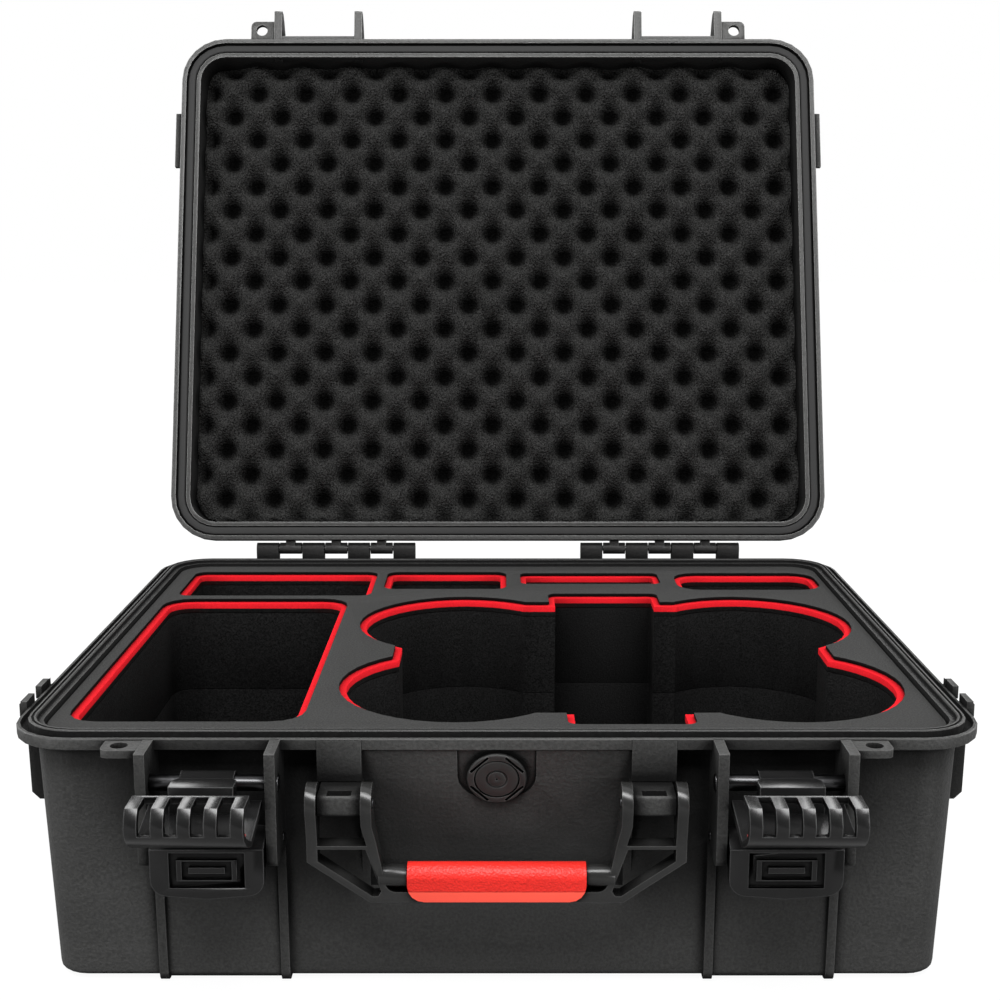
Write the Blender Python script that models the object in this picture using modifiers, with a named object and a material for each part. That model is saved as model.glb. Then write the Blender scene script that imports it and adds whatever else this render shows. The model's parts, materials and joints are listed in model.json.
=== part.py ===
"""Hard carrying case with a fitted foam insert, modelled standing open.

The base and the lid are moulded shells that meet at a tongue and a gasket. Two claws on the base
hook the lid, a bail handle hangs on the front, and layered foam with cut pockets fills the base.
Metres, +Z up, the front faces -Y, and the floor is at Z = 0.
"""
import math

import bmesh
import bpy
from mathutils import Matrix, Vector

# Rim, where the base and the lid meet
RIM_WIDTH = 0.370
RIM_DEPTH = 0.296
RIM_CORNER = 0.025
CORNER_STEPS = 6
EDGE_BREAK = 0.0004

# Base shell
BASE_HEIGHT = 0.103
RUNNER_HEIGHT = 0.002
WALL = 0.003
DRAFT = math.radians(2.4)
FLANGE_REACH = 0.0075
FLANGE_THICK = 0.0046
BASE_EDGE = 0.0016
INSIDE_EDGE = 0.002

# Outer lip, channel and tongue on the base rim
RIM_LIP = 0.0014
CHANNEL_DEPTH = 0.0025
TONGUE_INSET = 0.0044
TONGUE_WIDTH = 0.0032
TONGUE_HEIGHT = 0.0017
TONGUE_GROOVE = 0.0010
TONGUE_GROOVE_DEPTH = 0.0007

# Lid shell
LID_HEIGHT = 0.046
LID_FLANGE = 0.006
LID_DRAFT = math.radians(4.0)
LID_EDGE = 0.010
LIP_WIDTH = 0.0026
GASKET_WIDTH = 0.0044
GASKET_HEIGHT = 0.0022
SEAT_GAP = 0.0005
OPEN_ANGLE = math.radians(107.8)

# Fits
FIT_GAP = 0.0003
SIDE_PLAY = 0.0006
FOAM_GAP = 0.0008

# Hinges
HINGE_CENTRE = 0.2473 * RIM_WIDTH
HINGE_LENGTH = 0.090
HINGE_KNUCKLES = 7
HINGE_OUT = 0.0042
HINGE_RISE = 0.0055
HINGE_RADIUS = 0.0032
HINGE_PIN_RADIUS = 0.0015
HINGE_ARM_WIDTH = 0.005

# Latches
LATCH_CENTRE = 0.2862 * RIM_WIDTH
CLAW_WIDTH = 0.0406
CLAW_PLAY = 0.0013
EAR_THICK = 0.0039
EAR_OUT = 0.015
EAR_DROP = 0.0445
CLAW_PIN_RADIUS = 0.003
CLAW_PIN_OUT = 0.008
CLAW_PIN_DROP = 0.014
CLAW_REACH = 0.0454
CLAW_THICK = 0.0027
CLAW_FINGERS = 5
CLAW_KNUCKLE_WIDTH = 0.020
CLAW_TAB_WIDTH = 0.0234
TIP_END = 0.0312
TIP_RISE = 0.0048
SLOT_DROP = 0.0021
TRIGGER_PIN_RADIUS = 0.0016
TRIGGER_PIN_BACK = 0.002
TRIGGER_PIN_DROP = 0.039
TRIGGER_WIDTH = 0.0418
TRIGGER_OUT = 0.0175
TRIGGER_THICK = 0.004
TRIGGER_SHOULDER = 0.009
TRIGGER_TOP_DROP = 0.030
TRIGGER_FACE_DROP = 0.0361
TRIGGER_LOW_DROP = 0.0555
TRIGGER_BARREL = 0.0042
SPRING_WIRE = 0.0009
SPRING_PITCH = 0.0015
SPRING_TURNS = 5

# Fins, padlock tabs and side lugs
FIN_OUT = 0.0176
FIN_THICK = 0.0045
FIN_RISE = 0.034
TAB_CENTRE = LATCH_CENTRE + 0.0330
TAB_WIDTH = 0.0126
TAB_OUT = 0.0108
TAB_THICK = 0.003
PADLOCK_RADIUS = 0.0033
LUG_FRONT = 0.036
LUG_LENGTH = 0.032
LUG_GAP = 0.009
LUG_OUT = 0.0034
LUG_DROP = 0.038
LUG_RISE = 0.0024
LUG_PLATE = 0.003
LUG_PROUD = 0.0004

# Ribs that run down the walls and under the floor as runners
RIB_SPREAD = 0.0474
RIB_WIDTH = 0.0034
RIB_PROUD = 0.002
RIB_PANEL_PROUD = 0.0008
LID_RIB_PROUD = 0.0015

# Handle and its seat on the front wall
HANDLE_PIVOT_X = 0.1559 * RIM_WIDTH
HANDLE_AXIS_OUT = 0.010
HANDLE_AXIS_DROP = 0.0210
HANDLE_BARREL_HALF = 0.0040
HANDLE_BARREL_WIDTH = 0.0156
HANDLE_BOSS_X = HANDLE_PIVOT_X + 0.001
HANDLE_BOSS_WIDTH = 0.0166
HANDLE_BOSS_DROP = 0.0166
HANDLE_NOTCH = 0.009
HANDLE_PIN_RADIUS = 0.0018
ARM_WIDTH = 0.0040
HANDLE_EYE_RADIUS = 0.0076
HANDLE_THICK = 0.008
HANDLE_DROP = 0.0385
CROSSBAR_DROP = 0.0153
GRIP_LENGTH = 0.066
GRIP_RADIUS = 0.0051
GRIP_CORE_RADIUS = 0.0026
GRIP_CENTRE_DROP = 0.0284
FERRULE_RADIUS = 0.0042
GRIP_CORNER = 0.0062
PANEL_HALF_WIDTH = HANDLE_PIVOT_X - 0.0092
PANEL_TILT = math.radians(17.0)
PANEL_LOW_DROP = 0.0574
PANEL_RETURN = 0.007

# Vent valve on the sloping panel
VALVE_DROP = 0.0163
VALVE_RADIUS = 0.0113
VALVE_BORE = 0.0066
VALVE_RING = 0.0027
VALVE_PROUD = 0.0017
VALVE_RECESS = 0.0009
VALVE_RECESS_HALF = 0.0148
VALVE_LENGTH = 0.005
MEMBRANE_THICK = 0.0008
SEAL_WIRE = 0.0005

# Foam insert in the base
FOAM_BELOW_RIM = 0.0015
TOP_LAYER = 0.0015
RED_LAYER = 0.0048
UPPER_BLOCK = 0.040
FLOOR_PAD = 0.010
LEDGE = 0.0030

# Foam pockets, as the top layer shows them: two corners as parts of the rim's width and depth, and a radius
HEADSET_POCKET = ((-0.4546, -0.4189), (-0.2041, 0.2213), 0.013)
HUB_POCKET = ((-0.4459, 0.2432), (-0.1770, 0.4189), 0.006)
BATTERY_POCKET = ((-0.1622, 0.2905), (0.0122, 0.4189), 0.006)
LONG_POCKET = ((0.0330, 0.3277), (0.2341, 0.4095), 0.004)
CONTROL_POCKET = ((0.2568, 0.2838), (0.4608, 0.4105), 0.012)
NOSE_POCKET = ((0.0703, 0.0000), (0.2216, 0.2568), 0.004)
TAIL_POCKET = ((0.0743, -0.4291), (0.2095, -0.2027), 0.004)
ROTOR_RADIUS = min(0.1338 * RIM_WIDTH, 0.1672 * RIM_DEPTH)
ROTOR_CENTRE_X = 0.1392 * RIM_WIDTH
ROTOR_SPACING_X = 0.3676 * RIM_WIDTH
ROTOR_SPACING_Y = 0.3226 * RIM_DEPTH
ROTOR_REAR_Y = 0.0676 * RIM_DEPTH
WAIST_HALF = 0.2649 * RIM_WIDTH
SHOULDER_REAR_Y = 0.1993 * RIM_DEPTH
SHOULDER_FRONT_Y = -0.3834 * RIM_DEPTH

# Foam in the lid, with round hills and pits
LID_FOAM_PITCH = (0.01396, 0.01434)
LID_FOAM_SHIFT = (-0.0032, 0.0077)
LID_FOAM_SWING = 0.006
LID_FOAM_CREST = 0.010

# The whole stands so that its overall box is centred on the origin
CASE_CENTRE_Y = -0.03844

RIM_Z = BASE_HEIGHT
FLANGE_LOW = RIM_Z - FLANGE_THICK
FLOOR_Z = RUNNER_HEIGHT + WALL
FRONT = -RIM_DEPTH / 2
REAR = RIM_DEPTH / 2
LID_LOW = RIM_Z + SEAT_GAP
LID_FLANGE_TOP = LID_LOW + LID_FLANGE
LID_TOP = RIM_Z + LID_HEIGHT
RIDGE_Z = RIM_Z + TONGUE_HEIGHT + SEAT_GAP
GROOVE_ROOF = RIDGE_Z + GASKET_HEIGHT + FIT_GAP
ABOVE_GROOVE = (GROOVE_ROOF + LID_FLANGE_TOP) / 2
HINGE_Y = REAR + HINGE_OUT
HINGE_Z = RIM_Z + HINGE_RISE
CLAW_PIN_Y = FRONT - CLAW_PIN_OUT
CLAW_PIN_Z = RIM_Z - CLAW_PIN_DROP
TRIGGER_PIN_Y = FRONT + TRIGGER_PIN_BACK
TRIGGER_PIN_Z = RIM_Z - TRIGGER_PIN_DROP
HANDLE_Y = FRONT - HANDLE_AXIS_OUT
HANDLE_Z = RIM_Z - HANDLE_AXIS_DROP
EAR_OFFSET = CLAW_WIDTH / 2 + CLAW_PLAY + EAR_THICK / 2

SHELL_GREY = (0.035, 0.035, 0.037)
GLOSS_BLACK = (0.012, 0.012, 0.013)
FOAM_BLACK = (0.020, 0.020, 0.021)
ACCENT_RED = (0.780, 0.020, 0.025)
STEEL = (0.560, 0.560, 0.580)
RUBBER_BLACK = (0.030, 0.030, 0.030)

for old in list(bpy.data.objects):
    bpy.data.objects.remove(old, do_unlink=True)

PARTS = bpy.data.collections.new("carrying_case")
TOOLS = bpy.data.collections.new("cutters")
for collection in (PARTS, TOOLS):
    bpy.context.scene.collection.children.link(collection)


# Meshes

def arc(centre, radius, start, end, steps):
    """Points on an arc in a plane, from one angle to another in degrees."""
    angles = [math.radians(start + (end - start) * i / steps) for i in range(steps + 1)]
    return [(centre[0] + radius * math.cos(a), centre[1] + radius * math.sin(a)) for a in angles]


def finish_mesh(bm, matrix=None):
    """A mesh with its faces outward and its rounds shaded smooth."""
    if matrix is not None:
        bmesh.ops.transform(bm, matrix=matrix, verts=bm.verts)
    bmesh.ops.recalc_face_normals(bm, faces=bm.faces)
    mesh = bpy.data.meshes.new("shape")
    bm.to_mesh(mesh)
    bm.free()
    mesh.shade_smooth()
    mesh.set_sharp_from_angle(angle=math.radians(32))
    return mesh


def rim_loop(inset, z, steps):
    """A rounded rectangle that lies a given distance inside the rim's outer edge."""
    half_x = RIM_WIDTH / 2 - inset
    half_y = RIM_DEPTH / 2 - inset
    radius = max(RIM_CORNER - inset, 0.2 * RIM_CORNER)
    points = []
    for sx, sy, start in ((1, 1, 0), (-1, 1, 90), (-1, -1, 180), (1, -1, 270)):
        centre = (sx * (half_x - radius), sy * (half_y - radius))
        points += [(x, y, z) for x, y in arc(centre, radius, start, start + 90, steps)]
    return points


def loft(profile, ring=False, steps=CORNER_STEPS):
    """A shell through rim loops; a ring closes on itself, and other shells are capped."""
    bm = bmesh.new()
    rows = [[bm.verts.new(p) for p in rim_loop(inset, z, steps)] for inset, z in profile]
    pairs = list(zip(rows, rows[1:]))
    if ring:
        pairs.append((rows[-1], rows[0]))
    else:
        bm.faces.new(rows[0])
        bm.faces.new(rows[-1])
    for near, far in pairs:
        for i, vert in enumerate(near):
            j = (i + 1) % len(near)
            bm.faces.new((vert, near[j], far[j], far[i]))
    return finish_mesh(bm)


PLANES = {
    "XY": Matrix.Identity(4),
    "XZ": Matrix(((1, 0, 0, 0), (0, 0, -1, 0), (0, 1, 0, 0), (0, 0, 0, 1))),
    "YZ": Matrix(((0, 0, 1, 0), (1, 0, 0, 0), (0, 1, 0, 0), (0, 0, 0, 1))),
}


def plate(outlines, thick, plane, at):
    """A flat piece cut to its outlines, the first outside and the others holes, centred at a depth."""
    curve = bpy.data.curves.new("outline", "CURVE")
    curve.dimensions = "2D"
    curve.fill_mode = "BOTH"
    curve.extrude = thick / 2
    for outline in outlines:
        spline = curve.splines.new("POLY")
        spline.points.add(len(outline) - 1)
        for point, (u, v) in zip(spline.points, outline):
            point.co = (u, v, 0.0, 1.0)
        spline.use_cyclic_u = True
    holder = bpy.data.objects.new("outline", curve)
    TOOLS.objects.link(holder)
    graph = bpy.context.evaluated_depsgraph_get()
    mesh = bpy.data.meshes.new_from_object(holder.evaluated_get(graph))
    bpy.data.objects.remove(holder, do_unlink=True)
    bm = bmesh.new()
    bm.from_mesh(mesh)
    bmesh.ops.remove_doubles(bm, verts=bm.verts, dist=0.00001)
    bmesh.ops.dissolve_limit(bm, angle_limit=0.0005, verts=bm.verts, edges=bm.edges)
    depth = {"XY": (0, 0, at), "XZ": (0, at, 0), "YZ": (at, 0, 0)}[plane]
    return finish_mesh(bm, Matrix.Translation(depth) @ PLANES[plane])


def box(low, high, round_edges=0.0, axis=2, steps=3):
    """A box between two corners; its edges along one axis may be rounded."""
    low, high = Vector(low), Vector(high)
    bm = bmesh.new()
    size = high - low
    place = Matrix.Translation((low + high) / 2) @ Matrix.Diagonal(size).to_4x4()
    bmesh.ops.create_cube(bm, size=1.0, matrix=place)
    if round_edges:
        along = [e for e in bm.edges if abs((e.verts[0].co - e.verts[1].co)[axis]) > 0.5 * size[axis]]
        bmesh.ops.bevel(bm, geom=along, offset=round_edges, segments=steps, profile=0.5, affect="EDGES")
    return finish_mesh(bm)


def cylinder(radius, length, centre, axis="X", sides=20):
    """A round bar centred at a point, along one axis."""
    bm = bmesh.new()
    bmesh.ops.create_cone(bm, cap_ends=True, segments=sides, radius1=radius, radius2=radius, depth=length)
    turn = {"X": Matrix.Rotation(math.pi / 2, 4, "Y"), "Y": Matrix.Rotation(math.pi / 2, 4, "X"),
            "Z": Matrix.Identity(4)}[axis]
    return finish_mesh(bm, Matrix.Translation(centre) @ turn)


def turned(profile, steps, matrix):
    """A turned piece from a closed half section of (radius, height) points, spun by a Screw."""
    bm = bmesh.new()
    verts = [bm.verts.new((r, 0.0, h)) for r, h in profile]
    for a, b in zip(verts, verts[1:] + verts[:1]):
        bm.edges.new((a, b))
    mesh = bpy.data.meshes.new("profile")
    bm.to_mesh(mesh)
    bm.free()
    holder = bpy.data.objects.new("profile", mesh)
    TOOLS.objects.link(holder)
    screw = holder.modifiers.new("spin", "SCREW")
    screw.steps = steps
    screw.render_steps = steps
    screw.use_merge_vertices = True
    screw.merge_threshold = 0.00001
    graph = bpy.context.evaluated_depsgraph_get()
    spun = bpy.data.meshes.new_from_object(holder.evaluated_get(graph))
    bpy.data.objects.remove(holder, do_unlink=True)
    bm = bmesh.new()
    bm.from_mesh(spun)
    bmesh.ops.remove_doubles(bm, verts=bm.verts, dist=0.00001)
    return finish_mesh(bm, matrix)


# Objects

def body_frame(name, pivot, turn=0.0):
    """An empty on a joint's axis, which carries the pieces that move about it."""
    empty = bpy.data.objects.new(name, None)
    PARTS.objects.link(empty)
    empty.parent = CASE
    empty.location = pivot
    empty.rotation_euler = (turn, 0.0, 0.0)
    return empty


def part(name, mesh, body, colour, roughness, metallic=0.0):
    """A named piece on its body, with its own material, drawn in the closed case's coordinates."""
    material = bpy.data.materials.new(name)
    material.use_nodes = True
    shader = material.node_tree.nodes["Principled BSDF"]
    shader.inputs["Base Color"].default_value = (*colour, 1.0)
    shader.inputs["Roughness"].default_value = roughness
    shader.inputs["Metallic"].default_value = metallic
    mesh.materials.append(material)
    piece = bpy.data.objects.new(name, mesh)
    PARTS.objects.link(piece)
    piece.parent = body
    if body is not CASE:
        piece.location = -body.location
    return piece


def shape(piece, mesh, operation):
    """Join a mesh to a piece, cut it away or keep only what lies inside it."""
    tool = bpy.data.objects.new(f"{piece.name}_{operation.lower()}", mesh)
    TOOLS.objects.link(tool)
    tool.parent = piece.parent
    tool.location = piece.location
    tool.hide_render = True
    tool.display_type = "WIRE"
    change = piece.modifiers.new(tool.name, "BOOLEAN")
    change.operation = operation
    change.object = tool


def join(piece, *meshes):
    for mesh in meshes:
        shape(piece, mesh, "UNION")


def cut(piece, *meshes):
    for mesh in meshes:
        shape(piece, mesh, "DIFFERENCE")


CASE = bpy.data.objects.new("case_frame", None)
PARTS.objects.link(CASE)
CASE.location = (0.0, CASE_CENTRE_Y, 0.0)
LID = body_frame("lid_frame", (0.0, HINGE_Y, HINGE_Z), -OPEN_ANGLE)
HANDLE = body_frame("handle_frame_axis", (0.0, HANDLE_Y, HANDLE_Z))
SIDES = {"left": -1, "right": 1}


def wall_inset(z):
    """How far the base wall's outer face lies inside the rim's edge at a height."""
    return FLANGE_REACH + max(FLANGE_LOW - z, 0.0) * math.tan(DRAFT)


def lid_inset(z):
    """How far the lid wall's outer face lies inside the rim's edge at a height."""
    return FLANGE_REACH + max(z - LID_FLANGE_TOP, 0.0) * math.tan(LID_DRAFT)


def panel_y(z):
    """The sloping front panel's face, level with the flange edge at the flange's underside."""
    return FRONT + EDGE_BREAK + (FLANGE_LOW - z) * math.tan(PANEL_TILT)


# Base shell

def base_profile():
    """Half section of the tub: underside, wall, flange, tongue, inner wall and inner floor."""
    low = RUNNER_HEIGHT
    outer = wall_inset(low) + BASE_EDGE
    inner = wall_inset(FLOOR_Z) + WALL + INSIDE_EDGE
    crest = RIM_Z + TONGUE_HEIGHT
    start, end = TONGUE_INSET, TONGUE_INSET + TONGUE_WIDTH
    middle = (start + end) / 2
    groove = TONGUE_GROOVE / 2
    chamfer = EDGE_BREAK
    points = arc((outer, low + BASE_EDGE), BASE_EDGE, -90, -180, 3)
    points += [(FLANGE_REACH, FLANGE_LOW), (EDGE_BREAK, FLANGE_LOW), (0.0, FLANGE_LOW + EDGE_BREAK)]
    points += [(0.0, RIM_Z - EDGE_BREAK), (EDGE_BREAK, RIM_Z), (RIM_LIP, RIM_Z)]
    points += [(RIM_LIP, RIM_Z - CHANNEL_DEPTH), (start, RIM_Z - CHANNEL_DEPTH), (start, crest - chamfer)]
    points += [(start + chamfer, crest), (middle - groove, crest)]
    points += [(middle - groove, crest - TONGUE_GROOVE_DEPTH), (middle + groove, crest - TONGUE_GROOVE_DEPTH)]
    points += [(middle + groove, crest), (end - chamfer, crest), (end, crest - chamfer), (end, RIM_Z)]
    points += [(FLANGE_REACH + WALL - EDGE_BREAK, RIM_Z), (FLANGE_REACH + WALL, FLANGE_LOW)]
    points += arc((inner, FLOOR_Z + INSIDE_EDGE), INSIDE_EDGE, 180, 270, 2)
    return points


def rib_band(x, width, proud):
    """A band that runs down the front wall, under the floor and up the rear wall."""
    top = FLANGE_LOW + 0.001
    low = RUNNER_HEIGHT
    sink = 0.001
    corner = wall_inset(low)
    bend = BASE_EDGE + proud
    out_top, out_low = wall_inset(top) - proud, corner - proud
    outer = [(FRONT + out_top, top)]
    outer += arc((FRONT + out_low + bend, low - proud + bend), bend, 180, 270, 3)
    outer += arc((REAR - out_low - bend, low - proud + bend), bend, 270, 360, 3)
    outer += [(REAR - out_top, top)]
    inner = [(REAR - wall_inset(top) - sink, top)]
    inner += arc((REAR - corner - BASE_EDGE, low + BASE_EDGE), BASE_EDGE - sink, 0, -90, 3)
    inner += arc((FRONT + corner + BASE_EDGE, low + BASE_EDGE), BASE_EDGE - sink, -90, -180, 3)
    inner += [(FRONT + wall_inset(top) + sink, top)]
    return plate([outer + inner], width, "YZ", x)


def latch_ear(x):
    """A side plate of a latch, which carries the ends of its two pins."""
    top, low = RIM_Z - EDGE_BREAK, RIM_Z - EAR_DROP
    nose = FRONT - EAR_OUT
    middle = FRONT + WALL / 2
    lip, step = FRONT + RIM_LIP / 2, FLANGE_LOW + 0.001
    outline = [(middle + FLANGE_REACH, step), (lip, step), (lip, top)]
    outline += [(nose + EDGE_BREAK, top), (nose, top - EDGE_BREAK)]
    outline += arc((nose + 0.003, low + 0.003), 0.003, 180, 270, 3)
    outline += [(middle + wall_inset(low), low)]
    return plate([outline], EAR_THICK, "YZ", x)


def padlock_tab(sign, z):
    """A tab from a latch ear or fin along the flange; the padlock hole is cut afterwards."""
    outer = TAB_CENTRE + TAB_WIDTH / 2
    inner = LATCH_CENTRE + EAR_OFFSET
    corner = 0.003
    root, front = FRONT + RIM_LIP / 2, FRONT - TAB_OUT
    outline = [(outer, root), (inner, root), (inner, front)]
    outline += arc((outer - corner, front + corner), corner, 270, 360, 3)
    return plate([[(sign * x, y) for x, y in outline]], TAB_THICK, "XY", z)


def handle_bracket(sign):
    """A boss level with the flange's edge, and under it the notched arm that holds the handle."""
    face = FRONT - EDGE_BREAK / 2
    root = FRONT + wall_inset(HANDLE_Z) + WALL / 2
    top = RIM_Z - EDGE_BREAK * 1.5
    low = RIM_Z - HANDLE_BOSS_DROP
    lip = FRONT + RIM_LIP / 2
    boss = [(root, FLANGE_LOW + EDGE_BREAK), (lip, FLANGE_LOW + EDGE_BREAK), (lip, top), (face, top)]
    boss += [(face, low), (face + 0.004, low - 0.0025), (root, low - 0.0025)]
    half, soft = HANDLE_BARREL_HALF, 0.0014
    arm = [(root, HANDLE_Z + half)]
    arm += arc((HANDLE_Y - half + soft, HANDLE_Z + half - soft), soft, 90, 180, 3)
    arm += arc((HANDLE_Y - half + soft, HANDLE_Z - half + soft), soft, 180, 270, 3)
    arm += [(root, HANDLE_Z - half)]
    return [plate([boss], HANDLE_BOSS_WIDTH, "YZ", sign * HANDLE_BOSS_X),
            plate([arm], HANDLE_BARREL_WIDTH, "YZ", sign * HANDLE_PIVOT_X)]


def handle_notch(sign):
    """The small notch in the top of the arm."""
    x = sign * HANDLE_PIVOT_X
    top = HANDLE_Z + HANDLE_BARREL_HALF
    return box((x - HANDLE_NOTCH / 2, HANDLE_Y - 0.0032, top - 0.0018),
               (x + HANDLE_NOTCH / 2, HANDLE_Y + 0.0016, top + 0.002))


def front_panel():
    """The thick front panel behind the handle, before its finger scoop is cut."""
    low = RIM_Z - PANEL_LOW_DROP - PANEL_RETURN - WALL
    face = FRONT + EDGE_BREAK
    inside = panel_y(RIM_Z - PANEL_LOW_DROP) + WALL
    outline = [(face, FLANGE_LOW + 0.001), (panel_y(VALVE_Z), VALVE_Z)]
    outline += [(FRONT + wall_inset(low) + 0.001, low)]
    outline += [(inside, low + PANEL_RETURN), (inside, RIM_Z - PANEL_LOW_DROP)]
    outline += [(FRONT + wall_inset(VALVE_Z) + WALL - 0.0005, VALVE_Z)]
    outline += [(FRONT + wall_inset(FLANGE_LOW) + WALL / 2, FLANGE_LOW + 0.001)]
    return plate([outline], 2 * (PANEL_HALF_WIDTH + WALL), "YZ", 0.0)


def finger_scoop():
    """What is cut from the front panel: everything in front of its sloping face."""
    top = FLANGE_LOW
    low = RIM_Z - PANEL_LOW_DROP
    far = FRONT - EAR_OUT
    outline = [(far, top), (panel_y(top) - 0.0002, top), (panel_y(low), low)]
    outline += arc((panel_y(low) - 0.004, low - 0.001), 0.004, 0, -70, 3)
    outline += [(far, low - PANEL_RETURN - 0.002)]
    return plate([outline], 2 * PANEL_HALF_WIDTH, "YZ", 0.0)


def hinge_spans():
    """The knuckles of one hinge in order, as their centres from the hinge's middle and their width."""
    step = HINGE_LENGTH / HINGE_KNUCKLES
    return [(step * (i - (HINGE_KNUCKLES - 1) / 2), step - SIDE_PLAY) for i in range(HINGE_KNUCKLES)]


def base_knuckle(x, width):
    """A knuckle that stands up from the rear edge of the base flange."""
    near, far = HINGE_Y - HINGE_RADIUS, HINGE_Y + HINGE_RADIUS
    root = REAR - RIM_LIP / 2
    outline = [(root, RIM_Z - EDGE_BREAK), (root, FLANGE_LOW + EDGE_BREAK)]
    outline += [(far - 0.0025, FLANGE_LOW + EDGE_BREAK), (far, RIM_Z)]
    outline += arc((HINGE_Y, HINGE_Z), HINGE_RADIUS, 0, 180, 8)
    outline += [(near, RIM_Z - EDGE_BREAK)]
    return plate([outline], width, "YZ", x)


def hinge_bore(x):
    """The hole for one hinge's pin, through all its knuckles."""
    reach = HINGE_LENGTH + 0.01
    return cylinder(HINGE_PIN_RADIUS + FIT_GAP, reach, (x, HINGE_Y, HINGE_Z), sides=12)


def padlock_hole(sign):
    """The padlock hole through the tabs of the base and the lid."""
    return cylinder(PADLOCK_RADIUS, 0.02, (sign * TAB_CENTRE, FRONT - TAB_OUT / 2, RIM_Z), "Z", 16)


def side_lug(sign):
    """Two hooked posts on a side wall that stand past the flange, under the lid's lug."""
    edge = RIM_WIDTH / 2
    out = edge + LUG_OUT
    top, low = RIM_Z + LUG_RISE, RIM_Z - LUG_DROP
    front = FRONT + LUG_FRONT
    rear = front + LUG_LENGTH
    meshes = []
    for y, chamfer in ((front + LUG_PLATE / 2, 0.001), (rear - LUG_PLATE / 2, 0.003)):
        foot = edge + LUG_PROUD
        outline = [(edge - wall_inset(low) - WALL / 2, low), (foot - 0.003, low), (foot, low + 0.003)]
        outline += [(foot + 0.0005, FLANGE_LOW - 0.002)]
        outline += [(out, FLANGE_LOW + 0.001), (out, top - chamfer), (out - chamfer, top)]
        outline += [(edge + EDGE_BREAK, top), (edge + EDGE_BREAK, RIM_Z - EDGE_BREAK)]
        outline += [(edge - RIM_LIP / 2, RIM_Z - EDGE_BREAK), (edge - RIM_LIP / 2, FLANGE_LOW + 0.0013)]
        outline += [(edge - wall_inset(FLANGE_LOW) - WALL / 2, FLANGE_LOW + 0.0013)]
        meshes.append(plate([[(sign * x, z) for x, z in outline]], LUG_PLATE, "XZ", y))
    reach = (LUG_LENGTH - LUG_GAP) / 2
    for y0, y1 in ((front + 0.001, front + reach), (rear - reach, rear - 0.001)):
        xs = sorted((sign * (edge + 2 * EDGE_BREAK), sign * (out - 0.0002)))
        meshes.append(box((xs[0], y0, FLANGE_LOW + 0.0016), (xs[1], y1, top - 0.0002)))
    return meshes


VALVE_Z = RIM_Z - VALVE_DROP
VALVE_SEAT = Matrix.Translation((0.0, panel_y(VALVE_Z), VALVE_Z)) @ Matrix.Rotation(
    math.pi / 2 + PANEL_TILT, 4, "X")


def valve_recess():
    """A shield-shaped recess in the sloping panel round the valve."""
    half = VALVE_RECESS_HALF
    top = (FLANGE_LOW - VALVE_Z) / math.cos(PANEL_TILT) - EDGE_BREAK
    low = (VALVE_RADIUS - EDGE_BREAK) / half
    outline = [(half, top), (-half, top)]
    outline += [(x, low * y) for x, y in arc((0.0, 0.0), half, 180, 360, 12)]
    mesh = plate([outline], 2 * VALVE_RECESS, "XY", 0.0)
    mesh.transform(VALVE_SEAT)
    return mesh


def build_base():
    shell = part("base_shell", loft(base_profile()), CASE, SHELL_GREY, 0.55)
    join(shell, front_panel())
    cut(shell, finger_scoop(), valve_recess())
    bore = cylinder(VALVE_BORE + FIT_GAP, 0.060, (0, 0, 0), "Z", 24)
    bore.transform(VALVE_SEAT)
    cut(shell, bore)
    for sign in SIDES.values():
        centre = sign * LATCH_CENTRE
        join(shell, rib_band(centre, RIB_SPREAD, RIB_PANEL_PROUD))
        for side in (-1, 1):
            join(shell, rib_band(centre + side * RIB_SPREAD / 2, RIB_WIDTH, RIB_PROUD))
            join(shell, latch_ear(centre + side * EAR_OFFSET))
        join(shell, padlock_tab(sign, RIM_Z - 1.5 * EDGE_BREAK - TAB_THICK / 2))
        join(shell, *handle_bracket(sign))
        cut(shell, handle_notch(sign))
        join(shell, *side_lug(sign))
        hinge = sign * HINGE_CENTRE
        join(shell, *(base_knuckle(hinge + x, w) for x, w in hinge_spans()[::2]))
        ear_span = 2 * EAR_OFFSET + 2 * EAR_THICK
        trigger_axis = (centre, TRIGGER_PIN_Y, TRIGGER_PIN_Z)
        handle_axis = (sign * HANDLE_PIVOT_X, HANDLE_Y, HANDLE_Z)
        cut(shell, cylinder(CLAW_PIN_RADIUS + FIT_GAP, ear_span, (centre, CLAW_PIN_Y, CLAW_PIN_Z)))
        cut(shell, cylinder(TRIGGER_PIN_RADIUS + FIT_GAP, ear_span, trigger_axis, sides=12))
        cut(shell, cylinder(HANDLE_PIN_RADIUS + FIT_GAP, 2 * HANDLE_BARREL_WIDTH, handle_axis, sides=12))
        cut(shell, hinge_bore(hinge), padlock_hole(sign))


# Lid

def lid_profile():
    """Half section of the lid: crown, wall, flange, lip, gasket groove, ridge and inside."""
    outer = lid_inset(LID_TOP) + LID_EDGE
    roof = LID_TOP - WALL
    bend = LID_EDGE - WALL
    inner = lid_inset(roof) + WALL + bend
    groove = LIP_WIDTH + GASKET_WIDTH + 4 * FIT_GAP
    points = arc((outer, LID_TOP - LID_EDGE), LID_EDGE, 90, 180, 4)
    points += [(FLANGE_REACH, LID_FLANGE_TOP), (EDGE_BREAK, LID_FLANGE_TOP)]
    points += [(0.0, LID_FLANGE_TOP - EDGE_BREAK), (0.0, LID_LOW + EDGE_BREAK), (EDGE_BREAK, LID_LOW)]
    points += [(LIP_WIDTH, LID_LOW), (LIP_WIDTH, GROOVE_ROOF)]
    points += [(groove, GROOVE_ROOF), (groove, RIDGE_Z), (FLANGE_REACH + WALL, RIDGE_Z)]
    points += [(FLANGE_REACH + WALL, LID_FLANGE_TOP)]
    points += arc((inner, roof - bend), bend, 180, 90, 4)
    return points


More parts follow.
